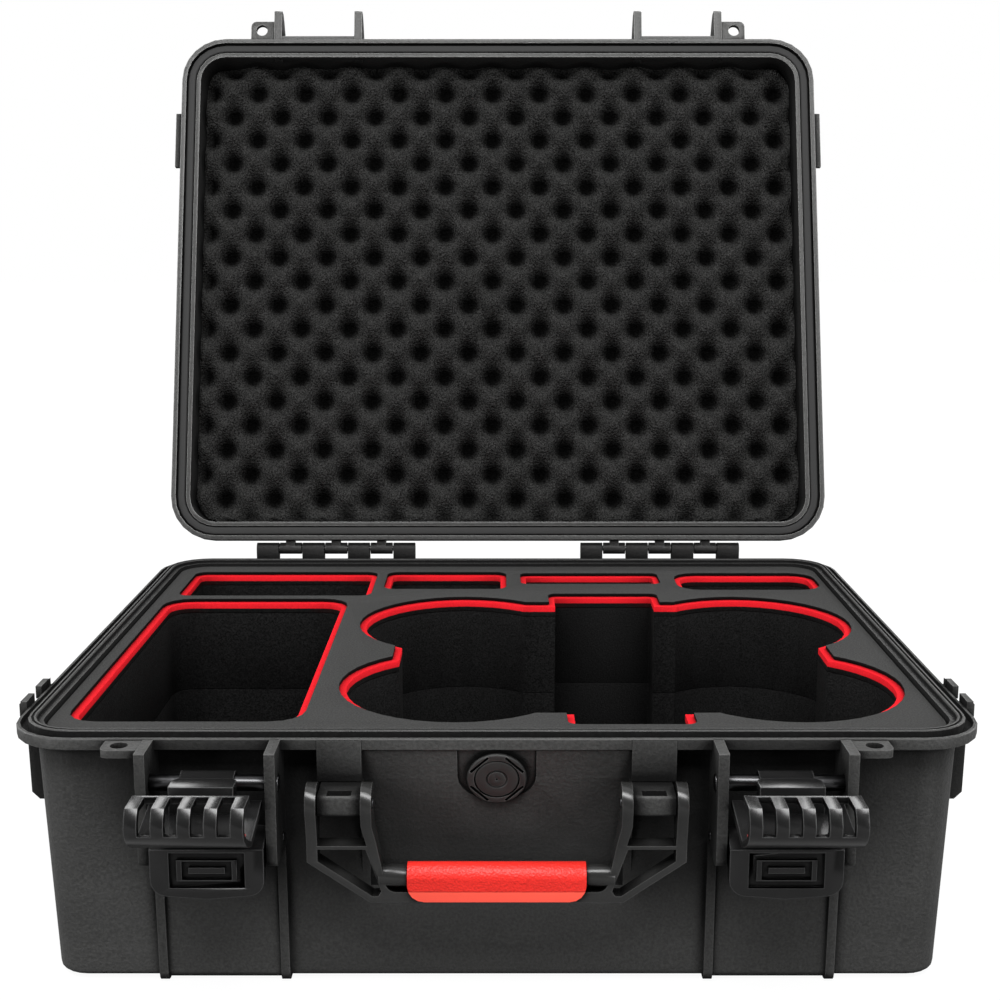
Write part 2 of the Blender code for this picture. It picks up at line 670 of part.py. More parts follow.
def lid_fin(x):
    """A gusset on the lid's front edge that guards one side of a claw."""
    low = LID_LOW + 0.0002
    nose = FRONT - FIN_OUT
    root = FRONT + lid_inset(RIM_Z + FIN_RISE) + WALL / 2
    outline = [(FRONT + LIP_WIDTH / 2, low), (nose + 0.001, low), (nose, low + 0.001), (nose, low + 0.006)]
    outline += [(nose + 0.003, low + 0.010), (root, RIM_Z + FIN_RISE)]
    outline += [(root, ABOVE_GROOVE), (FRONT + LIP_WIDTH / 2, ABOVE_GROOVE)]
    return plate([outline], FIN_THICK, "YZ", x)


def catch_ledge(x):
    """The ledge between two fins that the tip of a claw bears on."""
    low = LID_LOW + 0.0004
    top = CLAW_PIN_Z + TIP_END - FIT_GAP
    root = FRONT + lid_inset(top) + WALL / 2
    front = CLAW_PIN_Y + TIP_RISE - 0.0016
    outline = [(FRONT + LIP_WIDTH / 2, low), (FRONT - 0.0018, low), (front, top - 0.003), (front, top)]
    outline += [(root, top), (root, ABOVE_GROOVE), (FRONT + LIP_WIDTH / 2, ABOVE_GROOVE)]
    return plate([outline], 2 * EAR_OFFSET, "YZ", x)


def lid_knuckle(x, width):
    """A knuckle on the lid with the narrow arm that carries it."""
    low, high = LID_LOW + 0.001, LID_FLANGE_TOP - 0.0005
    outline = [(REAR - 0.0015, low), (HINGE_Y - 0.001, HINGE_Z - HINGE_RADIUS + 0.0004)]
    outline += [(HINGE_Y, HINGE_Z), (HINGE_Y - 0.001, HINGE_Z + HINGE_RADIUS - 0.0004), (REAR - 0.0015, high)]
    arm = plate([outline], HINGE_ARM_WIDTH, "YZ", x)
    return arm, cylinder(HINGE_RADIUS, width, (x, HINGE_Y, HINGE_Z), sides=16)


def lid_rib(x):
    """One rib over the lid, in line with a rib of the base."""
    low = LID_FLANGE_TOP - 0.001
    sink = 0.001
    corner = lid_inset(LID_TOP)
    bend = LID_EDGE + LID_RIB_PROUD
    root_out, root_in = lid_inset(low) - LID_RIB_PROUD, lid_inset(low) + sink
    outer = [(REAR - root_out, low)]
    outer += arc((REAR - corner - LID_EDGE, LID_TOP - LID_EDGE), bend, 0, 90, 4)
    outer += arc((FRONT + corner + LID_EDGE, LID_TOP - LID_EDGE), bend, 90, 180, 4)
    outer += [(FRONT + root_out, low)]
    inner = [(FRONT + root_in, low)]
    inner += arc((FRONT + corner + LID_EDGE, LID_TOP - LID_EDGE), LID_EDGE - sink, 180, 90, 4)
    inner += arc((REAR - corner - LID_EDGE, LID_TOP - LID_EDGE), LID_EDGE - sink, 90, 0, 4)
    inner += [(REAR - root_in, low)]
    return plate([outer + inner], RIB_WIDTH, "YZ", x)


def lid_side_lug(sign):
    """The lug on the lid's side edge, over the posts of the base."""
    edge = RIM_WIDTH / 2
    xs = sorted((sign * (edge - 0.002), sign * (edge + LUG_OUT)))
    front = FRONT + LUG_FRONT + LUG_GAP
    low = RIM_Z + LUG_RISE + SEAT_GAP
    return box((xs[0], front, low), (xs[1], front + LUG_LENGTH, LID_FLANGE_TOP - 0.0004))


def build_lid():
    shell = part("lid_shell", loft(lid_profile()), LID, SHELL_GREY, 0.55)
    for sign in SIDES.values():
        centre = sign * LATCH_CENTRE
        hinge = sign * HINGE_CENTRE
        for side in (-1, 1):
            join(shell, lid_fin(centre + side * EAR_OFFSET), lid_rib(centre + side * RIB_SPREAD / 2))
        join(shell, catch_ledge(centre), lid_side_lug(sign))
        join(shell, padlock_tab(sign, LID_LOW + 0.0006 + TAB_THICK / 2))
        for x, width in hinge_spans()[1::2]:
            join(shell, *lid_knuckle(hinge + x, width))
        cut(shell, hinge_bore(hinge), padlock_hole(sign))

    inset = LIP_WIDTH + 2 * FIT_GAP
    top = GROOVE_ROOF - FIT_GAP
    low = top - GASKET_HEIGHT
    crown = GASKET_HEIGHT * 0.3
    section = [(inset, top), (inset, low + crown), (inset + crown, low)]
    far = inset + GASKET_WIDTH
    section += [(far - crown, low), (far, low + crown), (far, top)]
    part("lid_gasket", loft(section, ring=True), LID, RUBBER_BLACK, 0.85)
    build_lid_foam()


def build_lid_foam():
    """Convoluted foam that fills the lid, with hills and pits set like a chessboard."""
    roof = LID_TOP - WALL
    bend = LID_EDGE - WALL
    middle = RIM_Z + LID_FOAM_CREST + LID_FOAM_SWING
    inset = FLANGE_REACH + WALL + FIT_GAP
    halves = (RIM_WIDTH / 2 - inset, RIM_DEPTH / 2 - inset)
    first = [math.floor((-h - s) / p) for h, s, p in zip(halves, LID_FOAM_SHIFT, LID_FOAM_PITCH)]
    count = [math.ceil((h - s) / p) - f for h, s, p, f in zip(halves, LID_FOAM_SHIFT, LID_FOAM_PITCH, first)]
    bm = bmesh.new()
    bmesh.ops.create_grid(bm, x_segments=count[0], y_segments=count[1], size=0.5)
    for vert in bm.verts:
        column = first[0] + round((vert.co.x + 0.5) * count[0])
        row = first[1] + round((vert.co.y + 0.5) * count[1])
        level = middle - LID_FOAM_SWING * (-1) ** (column + row)
        x = LID_FOAM_SHIFT[0] + column * LID_FOAM_PITCH[0]
        vert.co = (x, LID_FOAM_SHIFT[1] + row * LID_FOAM_PITCH[1], level)
    bmesh.ops.poke(bm, faces=bm.faces)
    raised = bmesh.ops.extrude_face_region(bm, geom=list(bm.faces))
    for item in raised["geom"]:
        if isinstance(item, bmesh.types.BMVert):
            item.co.z = LID_TOP
    foam = part("lid_foam", finish_mesh(bm), LID, FOAM_BLACK, 0.95)
    room = [(inset, RIM_Z)]
    room += arc((lid_inset(roof) + WALL + bend, roof - bend), bend - FIT_GAP, 180, 90, 1)
    shape(foam, loft(room, steps=4), "INTERSECT")


# Foam insert

def pocket_box(pocket, shrink, low, high):
    (u0, v0), (u1, v1), radius = pocket
    x0, x1 = u0 * RIM_WIDTH, u1 * RIM_WIDTH
    y0, y1 = v0 * RIM_DEPTH, v1 * RIM_DEPTH
    return box((x0 + shrink, y0 + shrink, low), (x1 - shrink, y1 - shrink, high),
               round_edges=max(radius - shrink, 0.2 * radius), steps=4)


def craft_pocket(shrink, low, high):
    """Four round bays about a waist, with room for a nose behind and a tail in front."""
    left = ROTOR_CENTRE_X - ROTOR_SPACING_X / 2
    right = ROTOR_CENTRE_X + ROTOR_SPACING_X / 2
    front_y = ROTOR_REAR_Y - ROTOR_SPACING_Y
    waist = WAIST_HALF - shrink
    height, middle = high - low, (high + low) / 2
    meshes = [box((ROTOR_CENTRE_X - waist, front_y, low), (ROTOR_CENTRE_X + waist, ROTOR_REAR_Y, high))]
    meshes.append(box((left, SHOULDER_FRONT_Y + shrink, low - 0.0002),
                      (right, SHOULDER_REAR_Y - shrink, high + 0.0002)))
    for i, (x, y) in enumerate((x, y) for x in (left, right) for y in (front_y, ROTOR_REAR_Y)):
        meshes.append(cylinder(ROTOR_RADIUS - shrink, height + 0.0002 * (i + 2), (x, y, middle), "Z", 40))
    meshes.append(pocket_box(NOSE_POCKET, shrink, low - 0.0008, high + 0.0008))
    meshes.append(pocket_box(TAIL_POCKET, shrink, low - 0.0010, high + 0.0010))
    return meshes


def foam_sheet(name, low, high, shrink, shallow, colour, roughness=0.95):
    """One layer of the insert, cut through by its pockets and kept clear of the front panel."""
    inset = wall_inset(low) + WALL + FOAM_GAP
    sheet = part(name, loft([(inset, low), (inset, high)]), CASE, colour, roughness)
    below, above = low - 0.005, high + 0.005
    cut(sheet, *craft_pocket(shrink, below, above), pocket_box(HEADSET_POCKET, shrink, below, above))
    if shallow:
        cut(sheet, *(pocket_box(p, shrink, below, above)
                     for p in (HUB_POCKET, BATTERY_POCKET, LONG_POCKET, CONTROL_POCKET)))
    return sheet


def build_foam():
    top_low = RIM_Z - FOAM_BELOW_RIM - TOP_LAYER
    red_low = top_low - FIT_GAP - RED_LAYER
    upper_low = red_low - FIT_GAP - UPPER_BLOCK
    pad_high = FLOOR_Z + FIT_GAP + FLOOR_PAD
    foam_sheet("foam_top_layer", top_low, top_low + TOP_LAYER, 0.0, True, FOAM_BLACK)
    foam_sheet("foam_red_layer", red_low, red_low + RED_LAYER, LEDGE, True, ACCENT_RED, 0.8)
    upper = foam_sheet("foam_upper_block", upper_low, upper_low + UPPER_BLOCK, LEDGE, True, FOAM_BLACK)
    lower = foam_sheet("foam_lower_block", pad_high + FIT_GAP, upper_low - FIT_GAP, LEDGE, False, FOAM_BLACK)
    inside = panel_y(RIM_Z - PANEL_LOW_DROP) + WALL + FOAM_GAP
    half = PANEL_HALF_WIDTH + WALL + FOAM_GAP
    for block in (upper, lower):
        low = RIM_Z - PANEL_LOW_DROP - PANEL_RETURN - WALL - FOAM_GAP
        cut(block, box((-half, FRONT, low), (half, inside, RIM_Z)))
    inset = wall_inset(FLOOR_Z) + WALL + INSIDE_EDGE + FOAM_GAP
    part("foam_floor_pad", loft([(inset, FLOOR_Z + FIT_GAP), (inset, pad_high)]), CASE, FOAM_BLACK, 0.95)


# Latches

def claw_front(inset):
    """The claw's front from its upper edge round to its lowest point, moved in by an inset."""
    middle = (CLAW_REACH - 0.0120, -0.0015)
    points = []
    for back, w in ((0.0031, 0.0073), (0.0011, 0.0046), (0.0, 0.0016), (0.0001, -0.0010), (0.0018, -0.0041),
                    (0.0048, -0.0069), (0.0085, -0.0092), (0.0125, -0.0110), (0.0165, -0.0122)):
        x, y = CLAW_REACH - back - middle[0], w - middle[1]
        share = 1.0 - inset / math.hypot(x, y)
        points.append((middle[0] + share * x, middle[1] + share * y))
    return points


def claw_section():
    """Section of the open claw, forward and up from its pin: tip, round front and floor plate."""
    t = CLAW_THICK
    outer = [(TIP_END, TIP_RISE + t), *claw_front(0.0), (0.004, -0.0072)]
    inner = [(0.006, -0.0072 + t), *reversed(claw_front(t)), (TIP_END, TIP_RISE)]
    return outer + inner


def along_front(points):
    """Claw points, forward and up from the claw's pin, in the case's side view."""
    return [(CLAW_PIN_Y - v, CLAW_PIN_Z + w) for v, w in points]


def claw_pad(x):
    """A red pad behind the round front of the claw's end finger."""
    back = claw_front(CLAW_THICK + FIT_GAP)[1:6]
    face = claw_front(CLAW_THICK + FIT_GAP + 0.0014)[1:6]
    return plate([along_front(back + face[::-1])], 0.004, "YZ", x)


def build_claw(side, sign):
    centre = sign * LATCH_CENTRE
    body = body_frame(f"claw_{side}_axis", (centre, CLAW_PIN_Y, CLAW_PIN_Z))
    hook = plate([along_front(claw_section())], CLAW_WIDTH, "YZ", centre)
    claw = part(f"claw_{side}", hook, body, GLOSS_BLACK, 0.3)
    eye = CLAW_PIN_RADIUS + 0.0015
    neck = [(0.0120, -0.0070), (0.0050, -0.0064)] + arc((0, 0), eye, -75, -300, 10)
    neck += [(0.0066, 0.0024), (0.0120, 0.0024)]
    join(claw, plate([along_front(neck)], CLAW_KNUCKLE_WIDTH, "YZ", centre))
    half, corner = CLAW_TAB_WIDTH / 2, 0.002
    near, far = CLAW_PIN_Y - 0.0149, CLAW_PIN_Y - 0.0058
    tab = [(-half, near), (half, near), (half, far - corner), (half - corner, far)]
    tab += [(corner - half, far), (-half, far - corner)]
    join(claw, plate([[(centre + x, y) for x, y in tab]], 0.0102, "XY", CLAW_PIN_Z - 0.0011))
    pin_clear = cylinder(CLAW_PIN_RADIUS + FIT_GAP, CLAW_WIDTH + 0.002, (centre, CLAW_PIN_Y, CLAW_PIN_Z))
    cut(claw, pin_clear)
    pitch = CLAW_WIDTH / (2 * CLAW_FINGERS - 1)
    for i in range(CLAW_FINGERS - 1):
        x = centre + (i - (CLAW_FINGERS - 2) / 2) * 2 * pitch
        low = (x - pitch / 2, CLAW_PIN_Y - CLAW_REACH - 0.005, CLAW_PIN_Z - SLOT_DROP)
        high = (x + pitch / 2, CLAW_PIN_Y - TIP_END - 0.0013, CLAW_PIN_Z + 0.02)
        cut(claw, box(low, high))
    inner_end = centre - sign * (CLAW_WIDTH / 2 - 0.0025)
    part(f"claw_pad_{side}", claw_pad(inner_end), body, ACCENT_RED, 0.4)
    length = 2 * EAR_OFFSET + EAR_THICK + 0.001
    rod = cylinder(CLAW_PIN_RADIUS, length, (centre, CLAW_PIN_Y, CLAW_PIN_Z))
    part(f"claw_pin_{side}", rod, CASE, STEEL, 0.25, 1.0)


def trigger_outline(centre):
    """Front outline of the thumb plate: square shoulders above, round corners and a bowed edge below."""
    half = TRIGGER_WIDTH / 2
    top, low = RIM_Z - TRIGGER_TOP_DROP, RIM_Z - TRIGGER_LOW_DROP
    corner, bow = 0.006, 0.0012
    points = [(centre + half, top), (centre - half, top)]
    points += arc((centre - half + corner, low + corner + bow), corner, 180, 262, 4)
    points += [(centre, low)]
    points += arc((centre + half - corner, low + corner + bow), corner, 278, 360, 4)
    return points


def build_trigger(side, sign):
    centre = sign * LATCH_CENTRE
    axis = (centre, TRIGGER_PIN_Y, TRIGGER_PIN_Z)
    body = body_frame(f"trigger_{side}_axis", axis)
    face = FRONT - TRIGGER_OUT
    deep = 2 * TRIGGER_SHOULDER
    trigger = part(f"trigger_{side}", plate([trigger_outline(centre)], deep, "XZ", face + deep / 2),
                   body, GLOSS_BLACK, 0.4)
    inside, rear = face + TRIGGER_THICK, face + TRIGGER_SHOULDER
    top, low = RIM_Z - TRIGGER_TOP_DROP, RIM_Z - TRIGGER_LOW_DROP - 0.002
    profile = [(face - 0.002, low), (face - 0.002, RIM_Z - TRIGGER_FACE_DROP)]
    profile += [(face + 0.0004, RIM_Z - TRIGGER_FACE_DROP), (rear, top - 0.0002)]
    profile += [(rear + 0.0008, top - 0.003), (inside, RIM_Z - TRIGGER_FACE_DROP - 0.002), (inside, low)]
    shape(trigger, plate([profile], TRIGGER_WIDTH + 0.004, "YZ", centre), "INTERSECT")
    back = face + TRIGGER_THICK - 0.0006
    barrel_width = TRIGGER_WIDTH * 0.3
    for end in (-1, 1):
        x = centre + end * (TRIGGER_WIDTH - barrel_width - 0.0008) / 2
        arm = [(back, TRIGGER_PIN_Z + 0.0022), (back, TRIGGER_PIN_Z - 0.008)]
        arm += arc((TRIGGER_PIN_Y, TRIGGER_PIN_Z), TRIGGER_BARREL, -100, 100, 8)
        join(trigger, plate([arm], barrel_width, "YZ", x))
    cut(trigger, cylinder(TRIGGER_PIN_RADIUS + FIT_GAP, TRIGGER_WIDTH + 0.002, axis, sides=12))
    groove_z = (TRIGGER_PIN_DROP + TRIGGER_LOW_DROP) / 2 - 0.0030
    for width, height, rim in ((0.0276, 0.0136, 0.0027), (0.0182, 0.0072, 0.0024)):
        frames = []
        for inset in (0.0, rim):
            half_x, half_z = width / 2 - inset, height / 2 - min(inset, height / 2 - 0.0012)
            x0, z0 = centre, RIM_Z - groove_z
            frames.append([(x0 - half_x, z0 - half_z), (x0 + half_x, z0 - half_z),
                           (x0 + half_x, z0 + half_z), (x0 - half_x, z0 + half_z)])
        cut(trigger, plate(frames, 2 * 0.0014, "XZ", face))
    length = 2 * EAR_OFFSET + EAR_THICK + 0.001
    part(f"trigger_pin_{side}", cylinder(TRIGGER_PIN_RADIUS, length, axis, sides=12), CASE, STEEL, 0.25, 1.0)
    build_spring(f"trigger_spring_{side}", centre)


def build_spring(name, centre):
    """The coil round the trigger's pin that brings the thumb plate back."""
    radius = TRIGGER_PIN_RADIUS + FIT_GAP + SPRING_WIRE / 2
    steps = 8
    points = []
    for i in range(SPRING_TURNS * steps + 1):
        angle = 2 * math.pi * i / steps
        x = centre + SPRING_PITCH * (i / steps - SPRING_TURNS / 2)
        points.append((x, TRIGGER_PIN_Y + radius * math.cos(angle), TRIGGER_PIN_Z + radius * math.sin(angle)))
    least = min((Vector(points[i + steps]) - Vector(points[i])).length for i in range(len(points) - steps))
    print(name, "least gap between turns (mm)", round((least - SPRING_WIRE) * 1000, 2))
    curve = bpy.data.curves.new(name, "CURVE")
    curve.dimensions = "3D"
    curve.bevel_depth = SPRING_WIRE / 2
    curve.bevel_resolution = 1
    curve.use_fill_caps = True
    spline = curve.splines.new("POLY")
    spline.points.add(len(points) - 1)
    for point, place in zip(spline.points, points):
        point.co = (*place, 1.0)
    holder = bpy.data.objects.new(name, curve)
    TOOLS.objects.link(holder)
    graph = bpy.context.evaluated_depsgraph_get()
    coil = bpy.data.meshes.new_from_object(holder.evaluated_get(graph))
    bpy.data.objects.remove(holder, do_unlink=True)
    bm = bmesh.new()
    bm.from_mesh(coil)
    bmesh.ops.remove_doubles(bm, verts=bm.verts, dist=0.00001)
    part(name, finish_mesh(bm), CASE, STEEL, 0.3, 1.0)


# Handle

def handle_outline():
    """Front outline of the right half of the bail, and the hole in its arm."""
    low = HANDLE_Z - HANDLE_DROP
    top = HANDLE_Z + 2 * HANDLE_EYE_RADIUS
    slot = HANDLE_BARREL_WIDTH / 2 + SIDE_PLAY / 2
    inner0, inner1 = HANDLE_PIVOT_X - slot - ARM_WIDTH, HANDLE_PIVOT_X - slot
    outer0, outer1 = HANDLE_PIVOT_X + slot, HANDLE_PIVOT_X + slot + ARM_WIDTH
    bar = HANDLE_Z - CROSSBAR_DROP
    knee = HANDLE_Z - 0.0072
    heel = low + 0.0169
    grip_end = GRIP_LENGTH / 2 + FIT_GAP
    shelf = HANDLE_Z - GRIP_CENTRE_DROP - GRIP_RADIUS
    strip = low + 0.0014
    corner = GRIP_CORNER
    outline = [(0.0, low - 0.002), (inner0 - 0.001, low - 0.002), (inner0, low), (outer1, heel)]
    outline += [(outer1, top), (outer0, top), (outer0, bar)]
    outline += [(inner1 - 0.0018, bar), (inner1, knee), (inner1, top), (inner0, top), (inner0, knee)]
    outline += arc((inner0 - 0.0085, shelf + 0.004), 0.004, -20, -90, 4)
    start = math.degrees(math.asin((shelf - strip - corner) / corner))
    outline += arc((grip_end - corner, strip + corner), corner, start, -90, 4)
    outline += [(0.0, strip)]
    window = [(outer0, bar - 0.0013), (outer0, heel + 0.0003), (inner0 + 0.0002, low + 0.0033)]
    window += [(inner0 - 0.0018, low + 0.0034), (inner0 - 0.0030, low + 0.0052)]
    window += [(inner1 - 0.0014, bar - 0.0013)]
    return outline, window


def mirrored(points):
    return points + [(-x, z) for x, z in reversed(points) if abs(x) > 1e-9]


def handle_side():
    """Side outline of the bail: a round eye at the axis, and arms that thin toward the grip."""
    low = HANDLE_Z - HANDLE_DROP
    half = HANDLE_THICK / 2
    outline = arc((HANDLE_Y, HANDLE_Z), HANDLE_EYE_RADIUS, -30, 210, 12)
    outline += [(HANDLE_Y - half, HANDLE_Z - 0.014), (HANDLE_Y - half + 0.0005, low + 0.001)]
    outline += [(HANDLE_Y - half + 0.0015, low), (HANDLE_Y + half - 0.0015, low)]
    outline += [(HANDLE_Y + half - 0.0005, low + 0.001), (HANDLE_Y + half, HANDLE_Z - 0.014)]
    return outline


def build_handle():
    outline, window = handle_outline()
    deep = 4 * HANDLE_EYE_RADIUS
    holes = [window, [(-x, z) for x, z in window]]
    bail = plate([mirrored(outline), *holes], deep, "XZ", HANDLE_Y)
    frame = part("handle_frame", bail, HANDLE, GLOSS_BLACK, 0.4)
    span = 2 * (HANDLE_PIVOT_X + HANDLE_BARREL_WIDTH + ARM_WIDTH)
    shape(frame, plate([handle_side()], span, "YZ", 0.0), "INTERSECT")
    grip_z = HANDLE_Z - GRIP_CENTRE_DROP
    slot = HANDLE_BARREL_WIDTH / 2 + SIDE_PLAY / 2
    arm_x = HANDLE_PIVOT_X - slot - ARM_WIDTH - 0.002
    neck = arm_x - GRIP_LENGTH / 2 - FIT_GAP
    for sign in SIDES.values():
        x = sign * (GRIP_LENGTH / 2 + FIT_GAP + neck / 2)
        join(frame, cylinder(FERRULE_RADIUS, neck, (x, HANDLE_Y, grip_z), sides=20))
        cut(frame, cylinder(HANDLE_PIN_RADIUS + FIT_GAP, 2 * HANDLE_BARREL_WIDTH,
                            (sign * HANDLE_PIVOT_X, HANDLE_Y, HANDLE_Z), sides=12))
    join(frame, cylinder(GRIP_CORE_RADIUS, 2 * arm_x - 0.002, (0.0, HANDLE_Y, grip_z), sides=12))

    strip = HANDLE_Z - HANDLE_DROP + 0.0014 + FIT_GAP
    corner = GRIP_CORNER
    end = GRIP_LENGTH / 2
    skirt = [(end, grip_z)] + arc((end - corner, strip + corner), corner, 0, -90, 4)
    grip = part("handle_grip", cylinder(GRIP_RADIUS, GRIP_LENGTH, (0.0, HANDLE_Y, grip_z), sides=24),
                HANDLE, ACCENT_RED, 0.45)
    join(grip, plate([mirrored(skirt)], 2 * GRIP_RADIUS * 0.97, "XZ", HANDLE_Y))
    cut(grip, cylinder(GRIP_CORE_RADIUS + FIT_GAP, GRIP_LENGTH + 0.01, (0.0, HANDLE_Y, grip_z), sides=12))
    for side, sign in SIDES.items():
        length = HANDLE_BARREL_WIDTH + SIDE_PLAY + 2 * ARM_WIDTH + 0.001
        pin = cylinder(HANDLE_PIN_RADIUS, length, (sign * HANDLE_PIVOT_X, HANDLE_Y, HANDLE_Z), sides=12)
        part(f"handle_pin_{side}", pin, CASE, STEEL, 0.25, 1.0)


# Hinge pins and valve

def build_hinge_pins():
    for side, sign in SIDES.items():
        centre = (sign * HINGE_CENTRE, HINGE_Y, HINGE_Z)
        pin = cylinder(HINGE_PIN_RADIUS, HINGE_LENGTH - 0.001, centre, sides=12)
        part(f"hinge_pin_{side}", pin, CASE, STEEL, 0.25, 1.0)


def build_valve():
    """A slotted ring and its barrel in the bore, a seal under the ring, and a membrane behind the cap."""
    floor = -VALVE_RECESS + FIT_GAP
    seal = 2 * SEAL_WIRE
    seat = floor + seal
    ring_in = VALVE_RADIUS - VALVE_RING
    step = VALVE_BORE - 0.0012
    throat = VALVE_BORE - 0.0030
    shelf = seat - 0.0016
    face = VALVE_PROUD
    section = [(VALVE_RADIUS, seat), (VALVE_RADIUS, face - 0.0005), (VALVE_RADIUS - 0.0005, face)]
    section += [(ring_in, face), (ring_in, seat + 0.0003), (step, seat + 0.0003), (step, shelf)]
    section += [(throat, shelf), (throat, -VALVE_LENGTH), (VALVE_BORE, -VALVE_LENGTH), (VALVE_BORE, seat)]
    body = part("valve_body", turned(section, 24, VALVE_SEAT), CASE, SHELL_GREY, 0.5)
    for i in range(4):
        slot = box((ring_in + 0.0002, -0.0047, face - 0.0010), (ring_in + 0.0012, 0.0047, face + 0.01))
        slot.transform(VALVE_SEAT @ Matrix.Rotation(math.radians(45 + 90 * i), 4, "Z"))
        cut(body, slot)
    cap_r = ring_in - FIT_GAP
    cap_low = seat + 0.0003 + FIT_GAP
    hub_r = 0.0034
    disc = [(0.0004, cap_low), (cap_r, cap_low), (cap_r, face - 0.0004), (cap_r - 0.0004, face)]
    disc += [(hub_r + 0.0008, face), (hub_r + 0.0004, face - 0.0004), (hub_r, face - 0.0004), (hub_r, face)]
    disc += [(0.0004, face)]
    part("valve_cap", turned(disc, 24, VALVE_SEAT), CASE, SHELL_GREY, 0.5)
    membrane = cylinder(step - FIT_GAP, MEMBRANE_THICK, (0, 0, shelf + FIT_GAP + MEMBRANE_THICK / 2), "Z", 24)
    membrane.transform(VALVE_SEAT)
    part("valve_membrane", membrane, CASE, RUBBER_BLACK, 0.8)
    wire = SEAL_WIRE - FIT_GAP / 2
    loop_r = VALVE_BORE + FIT_GAP + SEAL_WIRE + 0.0006
    loop = arc((loop_r, floor + SEAL_WIRE - FIT_GAP / 2), wire, 0, 300, 5)
    part("valve_seal", turned(loop, 20, VALVE_SEAT), CASE, RUBBER_BLACK, 0.8)


build_base()
build_lid()
build_foam()
for side_name, side_sign in SIDES.items():
    build_claw(side_name, side_sign)
    build_trigger(side_name, side_sign)
build_handle()
build_hinge_pins()
build_valve()
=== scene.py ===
"""Looks of a hard carrying case with a foam insert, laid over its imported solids."""
import json
import math

import bmesh
import bpy
from mathutils import Matrix, Vector, noise


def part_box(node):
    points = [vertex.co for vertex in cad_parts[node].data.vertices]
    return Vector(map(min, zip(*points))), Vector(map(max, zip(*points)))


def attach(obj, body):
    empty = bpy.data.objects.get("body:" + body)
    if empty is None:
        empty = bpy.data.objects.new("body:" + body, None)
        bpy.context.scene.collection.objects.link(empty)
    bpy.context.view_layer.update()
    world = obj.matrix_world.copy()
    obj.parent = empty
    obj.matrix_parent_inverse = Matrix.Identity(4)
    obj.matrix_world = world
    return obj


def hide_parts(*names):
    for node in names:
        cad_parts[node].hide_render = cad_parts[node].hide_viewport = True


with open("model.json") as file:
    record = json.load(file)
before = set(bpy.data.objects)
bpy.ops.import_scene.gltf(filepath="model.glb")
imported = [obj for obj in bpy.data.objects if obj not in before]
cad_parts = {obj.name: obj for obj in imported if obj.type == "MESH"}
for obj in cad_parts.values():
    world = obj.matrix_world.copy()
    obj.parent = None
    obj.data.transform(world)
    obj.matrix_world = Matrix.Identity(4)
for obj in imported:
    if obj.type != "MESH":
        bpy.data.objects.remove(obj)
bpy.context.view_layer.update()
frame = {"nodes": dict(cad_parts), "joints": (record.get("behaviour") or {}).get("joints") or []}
NODES = frame["nodes"]

bl_info = {
    "name": "Carrying case looks",
    "version": (1, 0, 0),
    "blender": (4, 5, 0),
    "location": "3D View > Sidebar > Case",
    "description": "Finishes, soft foam and studio for a hard carrying case",
    "category": "Object",
}

SIDES = ("left", "right")


# Sizes and colours that a user would change

class CaseColours(bpy.types.PropertyGroup):
    """Colours of the finishes."""
    shell: bpy.props.FloatVectorProperty(
        name="Shell", description="Moulded shell, and darker on the bail and the valve",
        subtype="COLOR", size=3, min=0, max=1, default=(0.047, 0.047, 0.046))
    gloss: bpy.props.FloatVectorProperty(
        name="Latches", description="Claws and thumb plates",
        subtype="COLOR", size=3, min=0, max=1, default=(0.009, 0.009, 0.0091))
    foam: bpy.props.FloatVectorProperty(
        name="Top foam", description="Thin layer on the insert",
        subtype="COLOR", size=3, min=0, max=1, default=(0.044, 0.044, 0.0434))
    block: bpy.props.FloatVectorProperty(
        name="Block foam", description="Blocks that hold the pockets",
        subtype="COLOR", size=3, min=0, max=1, default=(0.007, 0.007, 0.007))
    lining: bpy.props.FloatVectorProperty(
        name="Lid foam", description="Hills of the foam in the lid",
        subtype="COLOR", size=3, min=0, max=1, default=(0.026, 0.026, 0.0254))
    accent: bpy.props.FloatVectorProperty(
        name="Red foam", description="Red layer of the insert",
        subtype="COLOR", size=3, min=0, max=1, default=(0.700, 0.012, 0.020))
    grip: bpy.props.FloatVectorProperty(
        name="Grip", description="Grip and claw pads",
        subtype="COLOR", size=3, min=0, max=1, default=(0.740, 0.024, 0.017))
    band: bpy.props.FloatVectorProperty(
        name="Grip band", description="Smooth lower band of the grip",
        subtype="COLOR", size=3, min=0, max=1, default=(0.960, 0.094, 0.060))
    steel: bpy.props.FloatVectorProperty(
        name="Steel", description="Pins and springs",
        subtype="COLOR", size=3, min=0, max=1, default=(0.060, 0.060, 0.062))
    rubber: bpy.props.FloatVectorProperty(
        name="Rubber", description="Gasket and seals",
        subtype="COLOR", size=3, min=0, max=1, default=(0.014, 0.014, 0.014))


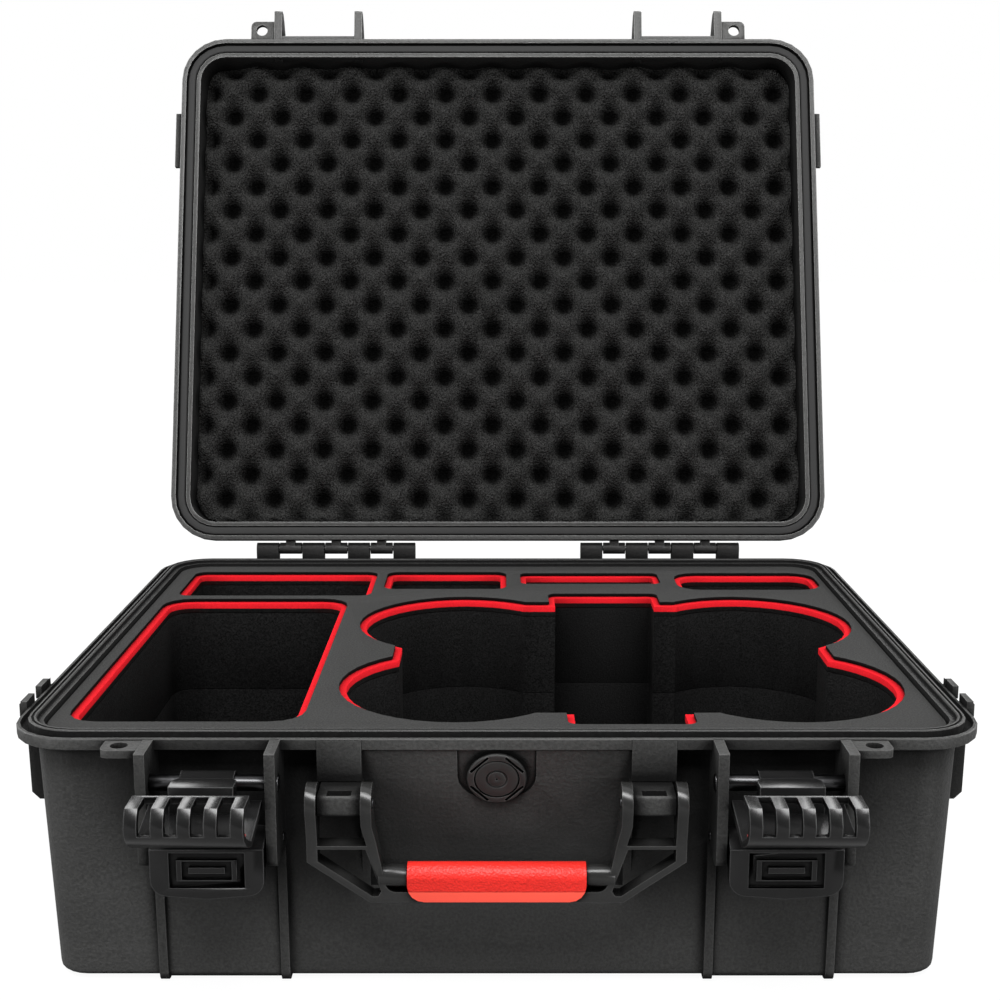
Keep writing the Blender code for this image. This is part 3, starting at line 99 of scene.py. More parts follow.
class CaseSizes(bpy.types.PropertyGroup):
    """Sizes of edges, foam and grain."""
    shell_edge: bpy.props.FloatProperty(
        name="Shell edges", description="Radius on the shells' edges", unit="LENGTH", default=0.0004)
    fitting_edge: bpy.props.FloatProperty(
        name="Fitting edges", description="Radius on claws, plates and bail", unit="LENGTH", default=0.0005)
    grip_edge: bpy.props.FloatProperty(
        name="Grip edges", description="Radius on the grip's edges", unit="LENGTH", default=0.0006)
    pad_edge: bpy.props.FloatProperty(
        name="Pad edges", description="Radius on the claw pads' edges", unit="LENGTH", default=0.0003)
    latch_pin_edge: bpy.props.FloatProperty(
        name="Latch pin ends", description="Radius on the latch pins' ends", unit="LENGTH", default=0.0004)
    pin_edge: bpy.props.FloatProperty(
        name="Pin ends", description="Radius on the handle and hinge pins' ends",
        unit="LENGTH", default=0.0003)
    valve_edge: bpy.props.FloatProperty(
        name="Valve edges", description="Radius on the valve and the gasket", unit="LENGTH", default=0.0002)
    seal_edge: bpy.props.FloatProperty(
        name="Seal edges", description="Radius on the valve's seal", unit="LENGTH", default=0.0001)
    foam_edge: bpy.props.FloatProperty(
        name="Foam edges", description="Radius on cut foam", unit="LENGTH", default=0.0005)
    grain: bpy.props.FloatProperty(
        name="Grain", description="Size of the shell's moulded grain", unit="LENGTH", default=0.0011)
    rubber_grain: bpy.props.FloatProperty(
        name="Rubber grain", description="Size of the gasket's and seals' grain",
        unit="LENGTH", default=0.0009)
    grip_grain: bpy.props.FloatProperty(
        name="Grip grain", description="Size of the grip's and pads' grain", unit="LENGTH", default=0.0008)
    pore: bpy.props.FloatProperty(
        name="Pores", description="Size of the foam's cells", unit="LENGTH", default=0.0009)
    red_share: bpy.props.FloatProperty(
        name="Red seam", description="Where the red layer's colour begins, from its underside",
        subtype="FACTOR", min=0, max=1, default=0.45)
    band_share: bpy.props.FloatProperty(
        name="Grip seam", description="Where the grip's smooth band ends, from its underside",
        subtype="FACTOR", min=0, max=1, default=0.30)
    lining_pitch: bpy.props.FloatVectorProperty(
        name="Hill spacing", description="Half the distance between two hills, across and up the lid",
        subtype="TRANSLATION", size=2, default=(0.01396, 0.01434))
    lining_shift: bpy.props.FloatVectorProperty(
        name="Hill shift", description="A hill's place from the middle of the lid",
        subtype="TRANSLATION", size=2, default=(-0.0032, 0.0077))
    lining_swing: bpy.props.FloatProperty(
        name="Hill height", description="Height of a hill above the middle level",
        unit="LENGTH", default=0.006)
    lining_corner: bpy.props.FloatProperty(
        name="Lining corner", description="Radius of the lid foam's corners", unit="LENGTH", default=0.015)
    lining_chamfer: bpy.props.FloatProperty(
        name="Lining chamfer", description="Chamfer on the lid foam's hidden back",
        unit="LENGTH", default=0.008)
    lining_steps: bpy.props.IntProperty(
        name="Steps", description="Faces in one half spacing", min=2, max=12, default=6)


class StudioSettings(bpy.types.PropertyGroup):
    """Camera and light."""
    lens: bpy.props.FloatProperty(
        name="Lens", description="Focal length on a 36 mm sensor", unit="CAMERA", default=54.07)
    pitch: bpy.props.FloatProperty(
        name="Pitch", description="How far the camera looks down",
        subtype="ANGLE", default=math.radians(10.73))
    place: bpy.props.FloatVectorProperty(
        name="Camera", description="Where the camera stands",
        subtype="TRANSLATION", size=3, default=(0.0012, -0.71734, 0.2938))
    key: bpy.props.FloatProperty(
        name="Key light", description="Power of the long lamp high in front", unit="POWER", default=48.0)
    above: bpy.props.FloatProperty(
        name="Top light", description="Power of the lamp above", unit="POWER", default=3.0)
    fill: bpy.props.FloatProperty(
        name="Fill light", description="Power of the tall lamps at the front", unit="POWER", default=9.0)
    fill_lean: bpy.props.FloatProperty(
        name="Fill lean", description="How much more the left fill gives than the mean of both",
        subtype="FACTOR", min=0, max=1, default=0.12)
    rim: bpy.props.FloatProperty(
        name="Rim light", description="Power of the tall lamps at the sides", unit="POWER", default=7.0)
    back: bpy.props.FloatProperty(
        name="Back light", description="Power of the long lamp high behind", unit="POWER", default=14.0)
    world: bpy.props.FloatProperty(
        name="Room light", description="Strength of the light from all round", default=0.02)
    sheen: bpy.props.FloatProperty(
        name="Room sheen", description="Strength of the room in reflections", default=0.06)


def case_settings():
    scene = bpy.context.scene
    return scene.case_colours, scene.case_sizes, scene.case_studio


# Shader wiring

class Wire:
    """A socket of a finish; arithmetic on it adds Math nodes."""

    def __init__(self, finish, socket):
        self.finish = finish
        self.socket = socket

    def maths(self, operation, first, second):
        return self.finish.add("ShaderNodeMath", {"operation": operation}, {0: first, 1: second})

    def __add__(self, other):
        return self.maths("ADD", self, other)

    def __radd__(self, other):
        return self.maths("ADD", other, self)

    def __sub__(self, other):
        return self.maths("SUBTRACT", self, other)

    def __rsub__(self, other):
        return self.maths("SUBTRACT", other, self)

    def __mul__(self, other):
        return self.maths("MULTIPLY", self, other)

    def __rmul__(self, other):
        return self.maths("MULTIPLY", other, self)

    def __pow__(self, other):
        return self.maths("POWER", self, other)

    def __rpow__(self, other):
        return self.maths("POWER", other, self)


SEAM_BLUR = 0.0002
TRACE_SAMPLES = 4


class Finish:
    """The nodes of a material or of the room, with one method that adds any node."""

    def __init__(self, owner):
        owner.use_nodes = True
        self.owner = owner
        self.tree = owner.node_tree

    def add(self, kind, settings=None, sockets=None, out=0):
        """A node of any type: its settings are set first, then its sockets."""
        node = self.tree.nodes.new(kind)
        for name, value in (settings or {}).items():
            if name == "stops":
                ramp = node.color_ramp.elements
                while len(ramp) < len(value):
                    ramp.new(0.5)
                for stop, (place, shade) in zip(ramp, value):
                    stop.position = place
                    stop.color = (shade, shade, shade, 1.0)
            else:
                setattr(node, name, value)
        for key, value in (sockets or {}).items():
            self.feed(node.inputs[key], value)
        return Wire(self, node.outputs[out])

    def feed(self, target, value):
        if isinstance(value, Wire):
            self.tree.links.new(value.socket, target)
        else:
            target.default_value = value

    def set(self, **sockets):
        """Values or wires for the Principled shader's sockets."""
        shader = self.tree.nodes["Principled BSDF"]
        for name, value in sockets.items():
            self.feed(shader.inputs[name.replace("_", " ").title().replace("Ior", "IOR")], value)

    def place(self):
        return self.add("ShaderNodeTexCoord", out="Object")

    def height(self, low, high):
        """0 below one height in metres, 1 above another."""
        level = self.add("ShaderNodeSeparateXYZ", None, {"Vector": self.place()}, out="Z")
        return self.add("ShaderNodeMapRange", {"interpolation_type": "SMOOTHSTEP"},
                        {"Value": level, "From Min": low, "From Max": high})

    def above(self, seam):
        """0 below a seam at a height in metres, 1 above it."""
        return self.height(seam - SEAM_BLUR, seam + SEAM_BLUR)

    def speckle(self, size, detail=2.0, rough=0.5, where=None):
        """Soft noise whose lumps have a given size in metres."""
        sockets = {"Vector": where or self.place(), "Scale": 1.0 / size, "Detail": detail, "Roughness": rough}
        return self.add("ShaderNodeTexNoise", None, sockets)

    def cells(self, size, feature="F1"):
        """Round cells of a given size in metres."""
        sockets = {"Vector": self.place(), "Scale": 1.0 / size}
        return self.add("ShaderNodeTexVoronoi", {"feature": feature}, sockets, out="Distance")

    def ramp(self, value, *stops):
        return self.add("ShaderNodeValToRGB", {"stops": stops}, {"Fac": value})

    def edges(self, radius):
        """1 along sharp edges, 0 on flat ground."""
        turned = self.add("ShaderNodeBevel", {"samples": TRACE_SAMPLES}, {"Radius": radius})
        flat = self.add("ShaderNodeNewGeometry", out="Normal")
        same = self.add("ShaderNodeVectorMath", {"operation": "DOT_PRODUCT"},
                        {0: turned, 1: flat}, out="Value")
        return self.ramp(1.0 - same, (0.01, 0.0), (0.15, 1.0))

    def nooks(self, reach):
        """1 in the open, 0 deep in a crease or under a ledge."""
        facet = self.add("ShaderNodeNewGeometry", out="True Normal")
        return self.add("ShaderNodeAmbientOcclusion", {"samples": TRACE_SAMPLES},
                        {"Distance": reach, "Normal": facet}, out="AO")

    def blend(self, factor, first, second):
        """A colour between two others, each a wire or three numbers."""
        first, second = (c if isinstance(c, Wire) else (*c, 1.0) for c in (first, second))
        return self.add("ShaderNodeMix", {"data_type": "RGBA"},
                        {"Factor": factor, 6: first, 7: second}, out=2)

    def bump(self, height, depth):
        return self.add("ShaderNodeBump", None, {"Height": height, "Distance": depth, "Strength": 1.0})


def new_finish(name):
    return Finish(bpy.data.materials.new(name))


def scaled(colour, factor):
    return tuple(min(1.0, channel * factor) for channel in colour)


# Finishes; sizes, reaches and depths are in metres

def moulded_plastic(name, colour, grain, rough, depth, worn_and_lit_gain):
    """Injection-moulded plastic with a fine grain, slight clouding, scuffs, edges paled partly as wear and
    partly as painted highlight, and painted shade in hollows and creases.
    """
    cloud_size, scuff_size, edge_width = 0.060, 0.010, 0.0006
    hollow_reach, crease_reach = 0.038, 0.005
    foot, knee = 0.010, 0.050
    finish = new_finish(name)
    cloud = finish.speckle(cloud_size, detail=3.0)
    fine = finish.ramp(finish.speckle(grain, detail=2.0, rough=0.6), (0.32, 0.0), (0.68, 1.0))
    pits = finish.cells(grain * 1.7)
    scuff = finish.ramp(finish.speckle(scuff_size, detail=4.0, rough=0.65), (0.60, 0.0), (0.78, 1.0))
    worn_and_lit_edge = finish.edges(edge_width)
    shade = finish.blend(cloud * 0.4 + fine * 0.6, scaled(colour, 0.62), scaled(colour, 1.38))
    # Painted highlight, partly wear: edges paled towards the colour times the gain.
    shade = finish.blend(worn_and_lit_edge * 0.6, shade, scaled(colour, worn_and_lit_gain))
    # Painted shade: ambient occlusion darkens hollows (between the foot and knee heights) and creases nearly
    # to black, and roughens them.
    hollow = (1.0 - finish.nooks(hollow_reach) ** 3.0) * finish.height(foot, knee)
    crease = 1.0 - finish.nooks(crease_reach) ** 3.0
    dark = finish.ramp(hollow + crease, (0.0, 0.0), (0.95, 1.0))
    shade = finish.blend(dark, shade, scaled(colour, 0.01))
    finish.set(base_color=shade, specular_ior_level=0.25,
               roughness=rough - 0.08 + fine * 0.14 - scuff * 0.05 + dark * 0.40,
               normal=finish.bump(fine * 0.4 + pits * 0.6, depth))
    return finish.owner


def satin_plastic(name, colour, rough, worn_and_lit_gain):
    """Smooth dark plastic with faint flow marks, edges paled partly as wear and partly as painted highlight,
    and painted shade in the nooks, where both the colour and the gloss fade out.
    """
    flow_size, dust_size, dust_depth, edge_width = 0.012, 0.0009, 0.00002, 0.0007
    nook_reach = 0.010
    finish = new_finish(name)
    flow = finish.speckle(flow_size, detail=3.0)
    dust = finish.speckle(dust_size, detail=2.0, rough=0.6)
    worn_and_lit_edge = finish.edges(edge_width)
    shade = finish.blend(dust * 0.5, scaled(colour, 0.8), scaled(colour, 1.6))
    # Painted highlight, partly wear: edges paled towards the colour times the gain.
    shade = finish.blend(worn_and_lit_edge * 0.7, shade, scaled(colour, worn_and_lit_gain))
    # Painted shade: in nooks the colour goes nearly black and the coat fades away.
    outside_painted_shade = finish.nooks(nook_reach) ** 2.6
    shade = finish.blend(outside_painted_shade, scaled(colour, 0.02), shade)
    finish.set(base_color=shade, specular_ior_level=0.0, roughness=0.5 + dust * 0.2,
               coat_roughness=rough, coat_weight=outside_painted_shade * (0.85 + flow * 0.3),
               normal=finish.bump(dust, dust_depth))
    return finish.owner


def cut_foam(name, colour, pore, depth, pale, side_shade=1.0, under=None, seam=0.0):
    """Foam sheet: small cells, pale flecks, painted shade on the sides and in nooks, and a second colour
    below a seam.
    """
    cloud_size, nook_reach = 0.030, 0.020
    finish = new_finish(name)
    cell = finish.cells(pore)
    fine = finish.speckle(pore * 0.8, detail=3.0, rough=0.7)
    cloud = finish.speckle(cloud_size, detail=2.0)
    fleck = finish.ramp(fine, (0.38, 0.0), (0.66, 1.0))
    shade = finish.blend(fleck * 0.8 + cloud * 0.2, scaled(colour, 2.0 - pale), scaled(colour, pale))
    # Painted shade on faces that turn away from up, darkened by the side shade factor.
    facing = finish.add("ShaderNodeNewGeometry", out="Normal")
    level = finish.add("ShaderNodeSeparateXYZ", None, {"Vector": facing}, out="Z")
    side_shade_mask = finish.ramp(level, (0.35, side_shade), (0.85, 1.0))
    shade = finish.blend(side_shade_mask, (0.0, 0.0, 0.0), shade)
    if under:
        lower = finish.blend(fleck, scaled(under, 0.4), scaled(under, 1.6))
        shade = finish.blend(finish.above(seam), lower, shade)
    # Painted shade in nooks, from ambient occlusion.
    shade = finish.blend(finish.nooks(nook_reach) ** 1.4, scaled(colour, 0.05), shade)
    finish.set(base_color=shade, specular_ior_level=0.08, roughness=0.95 - fine * 0.1,
               normal=finish.bump(cell + fine * 0.8, depth))
    return finish.owner


def pitted_foam(name, colour, pore, depth):
    """The lid's foam: open cells, soft pale hills, and painted shade in the pits, nearly black."""
    cloud_size, pit_shade_colour = 0.050, (0.0004, 0.0004, 0.0004)
    finish = new_finish(name)
    # Painted shade: the mesh's attribute darkens the pits nearly to black.
    pit = finish.add("ShaderNodeAttribute", {"attribute_name": "pit"}, out="Fac")
    cell = finish.cells(pore)
    fine = finish.speckle(pore * 0.8, detail=3.0, rough=0.75)
    cloud = finish.speckle(cloud_size, detail=2.0)
    fleck = finish.ramp(fine, (0.38, 0.0), (0.63, 1.0))
    shade = finish.blend(fleck * 0.8 + cloud * 0.2, scaled(colour, 0.15), scaled(colour, 1.85))
    shade = finish.blend(pit * 0.94, shade, pit_shade_colour)
    finish.set(base_color=shade, specular_ior_level=0.0, roughness=0.98 - fine * 0.08,
               normal=finish.bump(cell + fine, depth))
    return finish.owner


def grained_rubber(name, colour, grain, rough, depth):
    """Rubber with a leathery grain."""
    cloud_size = 0.02
    finish = new_finish(name)
    cell = finish.cells(grain, feature="SMOOTH_F1")
    fine = finish.speckle(grain * 0.4, detail=2.0)
    cloud = finish.speckle(cloud_size, detail=2.0)
    shade = finish.blend(cloud * 0.5 + fine * 0.5, scaled(colour, 0.82), scaled(colour, 1.15))
    finish.set(base_color=shade, roughness=rough + fine * 0.1 - 0.05,
               normal=finish.bump(cell + fine * 0.5, depth))
    return finish.owner


def grip_rubber(name, colour, band, grain, seam):
    """The grip's red rubber: grained above a seam, smooth and paler below it."""
    fine_size, cloud_size, grain_depth = 0.0005, 0.012, 0.00024
    finish = new_finish(name)
    upper = finish.above(seam)
    cell = finish.cells(grain, feature="SMOOTH_F1")
    fine = finish.speckle(fine_size, detail=2.0)
    cloud = finish.speckle(cloud_size, detail=2.0)
    grained = finish.blend(cell * 0.7 + cloud * 0.3, scaled(colour, 1.15), scaled(colour, 0.75))
    smooth = finish.blend(fine * 0.6 + cloud * 0.4, scaled(band, 0.94), scaled(band, 1.06))
    finish.set(base_color=finish.blend(upper, smooth, grained), specular_ior_level=0.35,
               roughness=0.50 - upper * 0.14 + fine * 0.08,
               normal=finish.bump((cell + fine * 0.5) * upper, grain_depth))
    return finish.owner


def brushed_steel(name, colour):
    """Drawn steel bar with fine lines along X and slight tarnish."""
    line_size, line_depth, stain_size, stretch = 0.00025, 0.00001, 0.006, (0.04, 1.0, 1.0)
    finish = new_finish(name)
    along = finish.add("ShaderNodeMapping", None, {"Vector": finish.place(), "Scale": stretch})
    lines = finish.speckle(line_size, detail=2.0, where=along)
    stain = finish.speckle(stain_size, detail=3.0)
    shade = finish.blend(stain, scaled(colour, 0.7), scaled(colour, 1.2))
    finish.set(base_color=shade, roughness=0.20 + lines * 0.18, metallic=1.0,
               normal=finish.bump(lines, line_depth))
    return finish.owner


# Pieces

WELD_GAP = 0.00002
FLAT_ANGLE = math.radians(0.4)
SHARP_ANGLE = math.radians(34.0)


def make_piece(name, mesh, body, material, node):
    """A piece that stands for a solid and rides on its body."""
    piece = bpy.data.objects.new(name, mesh)
    bpy.context.scene.collection.objects.link(piece)
    mesh.materials.clear()
    mesh.materials.append(material)
    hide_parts(node)
    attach(piece, body)
    return piece


def welded(node):
    """A solid's mesh with its seams welded and its flat areas merged."""
    bm = bmesh.new()
    bm.from_mesh(NODES[node].data)
    bmesh.ops.remove_doubles(bm, verts=bm.verts, dist=WELD_GAP)
    bmesh.ops.dissolve_limit(bm, angle_limit=FLAT_ANGLE, verts=bm.verts, edges=bm.edges)
    mesh = bpy.data.meshes.new(node + "_dressed")
    bm.to_mesh(mesh)
    bm.free()
    mesh.shade_smooth()
    return mesh


def dressed(node, body, material, edge, steps=2):
    """A solid with rounded edges that catch the light."""
    piece = make_piece(node + "_dressed", welded(node), body, material, node)
    bevel = piece.modifiers.new("edges", "BEVEL")
    bevel.width = edge
    bevel.segments = steps
    bevel.limit_method = "ANGLE"
    bevel.angle_limit = SHARP_ANGLE
    bevel.use_clamp_overlap = True
    bevel.harden_normals = True
    bevel.miter_outer = "MITER_ARC"
    return piece


def seam_height(node, share):
    """The height of a seam, as a share of a solid's own height."""
    low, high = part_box(node)
    return low[2] + share * (high[2] - low[2])


class CASE_OT_shells(bpy.types.Operator):
    """Dress the base and lid shells in grained plastic with rounded edges."""
    bl_idname = "case.shells"
    bl_label = "Shells"

    def execute(self, context):
        colours, sizes, _ = case_settings()
        base = moulded_plastic("base_plastic", colours.shell, sizes.grain,
                               rough=0.50, depth=0.00020, worn_and_lit_gain=3.0)
        # Painted light: the lid's plastic is painted 1.25 times lighter than the base's, and its edges get a
        # stronger painted highlight.
        lid = moulded_plastic("lid_plastic_painted_lighter", scaled(colours.shell, 1.25), sizes.grain,
                              rough=0.40, depth=0.00016, worn_and_lit_gain=8.0)
        dressed("base_shell", "case_base", base, sizes.shell_edge)
        dressed("lid_shell", "lid", lid, sizes.shell_edge)
        return {"FINISHED"}


class CASE_OT_insert(bpy.types.Operator):
    """Lay the foam layers of the insert."""
    bl_idname = "case.insert"
    bl_label = "Foam insert"

    def execute(self, context):
        colours, sizes, _ = case_settings()
        top = cut_foam("top_foam", colours.foam, sizes.pore, depth=0.00010, pale=1.35, side_shade=0.10)
        block = cut_foam("block_foam", colours.block, sizes.pore, depth=0.00014, pale=1.95)
        red = cut_foam("red_foam", colours.accent, sizes.pore, depth=0.00004, pale=1.12,
                       under=colours.block, seam=seam_height("foam_red_layer", sizes.red_share))
        layers = {"foam_floor_pad": block, "foam_lower_block": block, "foam_upper_block": block,
                  "foam_red_layer": red, "foam_top_layer": top}
        for node, material in layers.items():
            dressed(node, "case_base", material, sizes.foam_edge)
        return {"FINISHED"}


# The lid's foam; lengths are in metres, sizes of the painted shade in the pits in shares of the hill spacing

CALM_BORDER, CALM_LEVEL, CALM_SHARE, CALM_PIT_SHADE = 0.005, 0.35, 0.6, 0.5
LIP_WIDTH, LIP_DROP = 0.003, 0.0012
RIPPLES_PER_METRE, RIPPLE_HEIGHT = 55.0, 0.0006
PIT_SHADE_RADIUS, PIT_SHADE_FADE = 0.41, 0.23
BACK_GAP, BACK_PIT_SHADE = 0.0005, 0.8
LINING_CREASE = math.radians(60.0)


def swing_shut():
    """The turn that takes the lid from the open rest pose to the base."""
    hinge = next(joint for joint in frame["joints"] if joint["name"] == "lid_hinge")
    pivot = Matrix.Translation(hinge["pos_m"])
    angle = math.radians(hinge["range_deg"][1])
    return pivot @ Matrix.Rotation(angle, 4, Vector(hinge["axis"])) @ pivot.inverted()


def smooth_step(value):
    value = max(0.0, min(1.0, value))
    return value * value * (3.0 - 2.0 * value)


def hill(x, up, edge, sizes):
    """How far the foam's face lies behind a hill's top at a place, and how much painted shade falls there,
    deepest in the pits.
    """
    phase = [math.pi * (at - shift) / pitch
             for at, shift, pitch in zip((x, up), sizes.lining_shift, sizes.lining_pitch)]
    wave = math.cos(phase[0]) * math.cos(phase[1])
    calm = 1.0 - smooth_step(edge / CALM_BORDER)
    wave += (CALM_LEVEL - wave) * CALM_SHARE * calm
    lip = (1.0 - smooth_step(edge / LIP_WIDTH)) * LIP_DROP
    ripple = noise.noise(Vector((x, up, 0.0)) * RIPPLES_PER_METRE) * RIPPLE_HEIGHT
    turns = ((phase[0] + phase[1]) / math.tau, (phase[0] - phase[1]) / math.tau)
    off = math.hypot(*(turn - math.floor(turn) - 0.5 for turn in turns))
    # Painted shade, near black in the pits and weaker by the calm border.
    dark = smooth_step((PIT_SHADE_RADIUS - off) / PIT_SHADE_FADE) * (1.0 - CALM_PIT_SHADE * calm)
    return sizes.lining_swing * (1.0 - wave) + lip + ripple, dark


def lining_mesh(sizes):
    """The lid's foam with round hills and pits, made over the shut lid's solid and then swung open."""
    shut = swing_shut()
    solid = NODES["lid_foam"]
    corners = [shut @ solid.matrix_world @ vert.co for vert in solid.data.vertices]
    low = Vector(min(c[i] for c in corners) for i in range(3))
    high = Vector(max(c[i] for c in corners) for i in range(3))
    middle, half = (low + high) / 2, (high - low) / 2
    columns = round(2 * half.x / sizes.lining_pitch[0] * sizes.lining_steps)
    rows = round(2 * half.y / sizes.lining_pitch[1] * sizes.lining_steps)
    corner, chamfer = sizes.lining_corner, sizes.lining_chamfer
    bm = bmesh.new()
    bmesh.ops.create_grid(bm, x_segments=columns, y_segments=rows, size=1.0)
    pit = bm.verts.layers.float.new("pit")
    for vert in bm.verts:
        up = half.y * vert.co.y
        beyond = max(0.0, abs(up) - half.y + corner)
        width = half.x - corner + math.sqrt(max(0.0, corner ** 2 - beyond ** 2))
        x = vert.co.x * width
        level, vert[pit] = hill(x, up, min(width - abs(x), half.y - abs(up)), sizes)
        vert.co = (middle.x + x, middle.y + up, low.z + level)
    for level, inset in ((high.z - chamfer, 0.0), (high.z - BACK_GAP, chamfer)):
        walls = bmesh.ops.extrude_edge_only(bm, edges=[edge for edge in bm.edges if edge.is_boundary])
        for vert in (item for item in walls["geom"] if isinstance(item, bmesh.types.BMVert)):
            vert.co.x = middle.x + (vert.co.x - middle.x) * (1.0 - inset / half.x)
            vert.co.y = middle.y + (vert.co.y - middle.y) * (1.0 - inset / half.y)
            vert.co.z = level
            # Painted shade on the hidden back walls.
            vert[pit] = BACK_PIT_SHADE
    bmesh.ops.holes_fill(bm, edges=[edge for edge in bm.edges if edge.is_boundary])
    bmesh.ops.recalc_face_normals(bm, faces=bm.faces)
    bmesh.ops.transform(bm, matrix=shut.inverted(), verts=bm.verts)
    mesh = bpy.data.meshes.new("lid_lining")
    bm.to_mesh(mesh)
    bm.free()
    mesh.shade_smooth()
    mesh.set_sharp_from_angle(angle=LINING_CREASE)
    return mesh


class CASE_OT_lining(bpy.types.Operator):
    """Make the convoluted foam in the lid and dress the gasket."""
    bl_idname = "case.lining"
    bl_label = "Lid lining"

    def execute(self, context):
        colours, sizes, _ = case_settings()
        foam = pitted_foam("lining_foam", colours.lining, sizes.pore * 1.35, depth=0.00080)
        make_piece("lid_lining", lining_mesh(sizes), "lid", foam, "lid_foam")
        rubber = grained_rubber("gasket_rubber", colours.rubber, sizes.rubber_grain,
                                rough=0.75, depth=0.00008)
        dressed("lid_gasket", "lid", rubber, sizes.valve_edge)
        return {"FINISHED"}


class CASE_OT_latches(bpy.types.Operator):
    """Dress the claws, their pads, the thumb plates, the pins and the springs."""
    bl_idname = "case.latches"
    bl_label = "Latches"

    def execute(self, context):
        colours, sizes, _ = case_settings()
        satin = satin_plastic("latch_plastic", colours.gloss, rough=0.24, worn_and_lit_gain=12.0)
        pad = grained_rubber("pad_rubber", colours.grip, sizes.grip_grain, rough=0.42, depth=0.00002)
        steel = brushed_steel("pin_steel", colours.steel)
        for side in SIDES:
            dressed(f"claw_{side}", f"claw_{side}", satin, sizes.fitting_edge, steps=3)
            dressed(f"claw_pad_{side}", f"claw_{side}", pad, sizes.pad_edge)
            dressed(f"trigger_{side}", f"trigger_{side}", satin, sizes.fitting_edge, steps=3)
            for node in (f"claw_pin_{side}", f"trigger_pin_{side}"):
                dressed(node, "case_base", steel, sizes.latch_pin_edge)
            spring = NODES[f"trigger_spring_{side}"].data
            spring.materials.clear()
            spring.materials.append(steel)
        return {"FINISHED"}


class CASE_OT_handle(bpy.types.Operator):
    """Dress the bail, its red grip and its pins."""
    bl_idname = "case.handle"
    bl_label = "Handle"

    def execute(self, context):
        colours, sizes, _ = case_settings()
        satin = satin_plastic("bail_plastic", scaled(colours.shell, 0.40), rough=0.27, worn_and_lit_gain=4.0)
        red = grip_rubber("grip_rubber", colours.grip, colours.band, sizes.grip_grain,
                          seam=seam_height("handle_grip", sizes.band_share))
        steel = brushed_steel("handle_steel", colours.steel)
        dressed("handle_frame", "handle", satin, sizes.fitting_edge, steps=3)
        dressed("handle_grip", "handle", red, sizes.grip_edge, steps=3)
        for side in SIDES:
            dressed(f"handle_pin_{side}", "case_base", steel, sizes.pin_edge)
        return {"FINISHED"}


class CASE_OT_hinges(bpy.types.Operator):
    """Dress the hinge pins."""
    bl_idname = "case.hinges"
    bl_label = "Hinges"

    def execute(self, context):
        colours, sizes, _ = case_settings()
        steel = brushed_steel("hinge_steel", colours.steel)
        for side in SIDES:
            dressed(f"hinge_pin_{side}", "case_base", steel, sizes.pin_edge)
        return {"FINISHED"}


class CASE_OT_valve(bpy.types.Operator):
    """Dress the vent valve."""
    bl_idname = "case.valve"
    bl_label = "Vent valve"

    def execute(self, context):
        colours, sizes, _ = case_settings()
        satin = satin_plastic("valve_plastic", scaled(colours.shell, 0.40), rough=0.55, worn_and_lit_gain=7.0)
        rubber = grained_rubber("valve_rubber", colours.rubber, sizes.rubber_grain,
                                rough=0.75, depth=0.00003)
        dressed("valve_body", "case_base", satin, sizes.valve_edge)
        dressed("valve_cap", "case_base", satin, sizes.valve_edge)
        dressed("valve_membrane", "case_base", rubber, sizes.valve_edge)
        dressed("valve_seal", "case_base", rubber, sizes.seal_edge)
        return {"FINISHED"}


# Studio; the floor's glow is a share of its shader for what the camera and reflections see

SENSOR_WIDTH = 36.0
NEAR_CLIP = 0.01
FLOOR_HALF, FLOOR_DROP = 6.0, 0.0002
FLOOR_GREY, FLOOR_GLOW = (0.16, 0.16, 0.16, 1.0), 1.55
GLOW_SEEN, GLOW_FAR, GLOW_MIRRORED = 0.61, 0.06, 0.06
GLOW_RISES = (0.6, 1.6)
WHITE = (1.0, 1.0, 1.0, 1.0)


def lamp(name, place, target, size, power):
    """A flat lamp, wide and tall as given, that faces a target."""
    light = bpy.data.lights.new(name, "AREA")
    light.shape = "RECTANGLE"
    light.size, light.size_y = size
    light.energy = power
    holder = bpy.data.objects.new(name, light)
    bpy.context.scene.collection.objects.link(holder)
    holder.location = place
    holder.rotation_euler = (Vector(target) - Vector(place)).to_track_quat("-Z", "Y").to_euler()


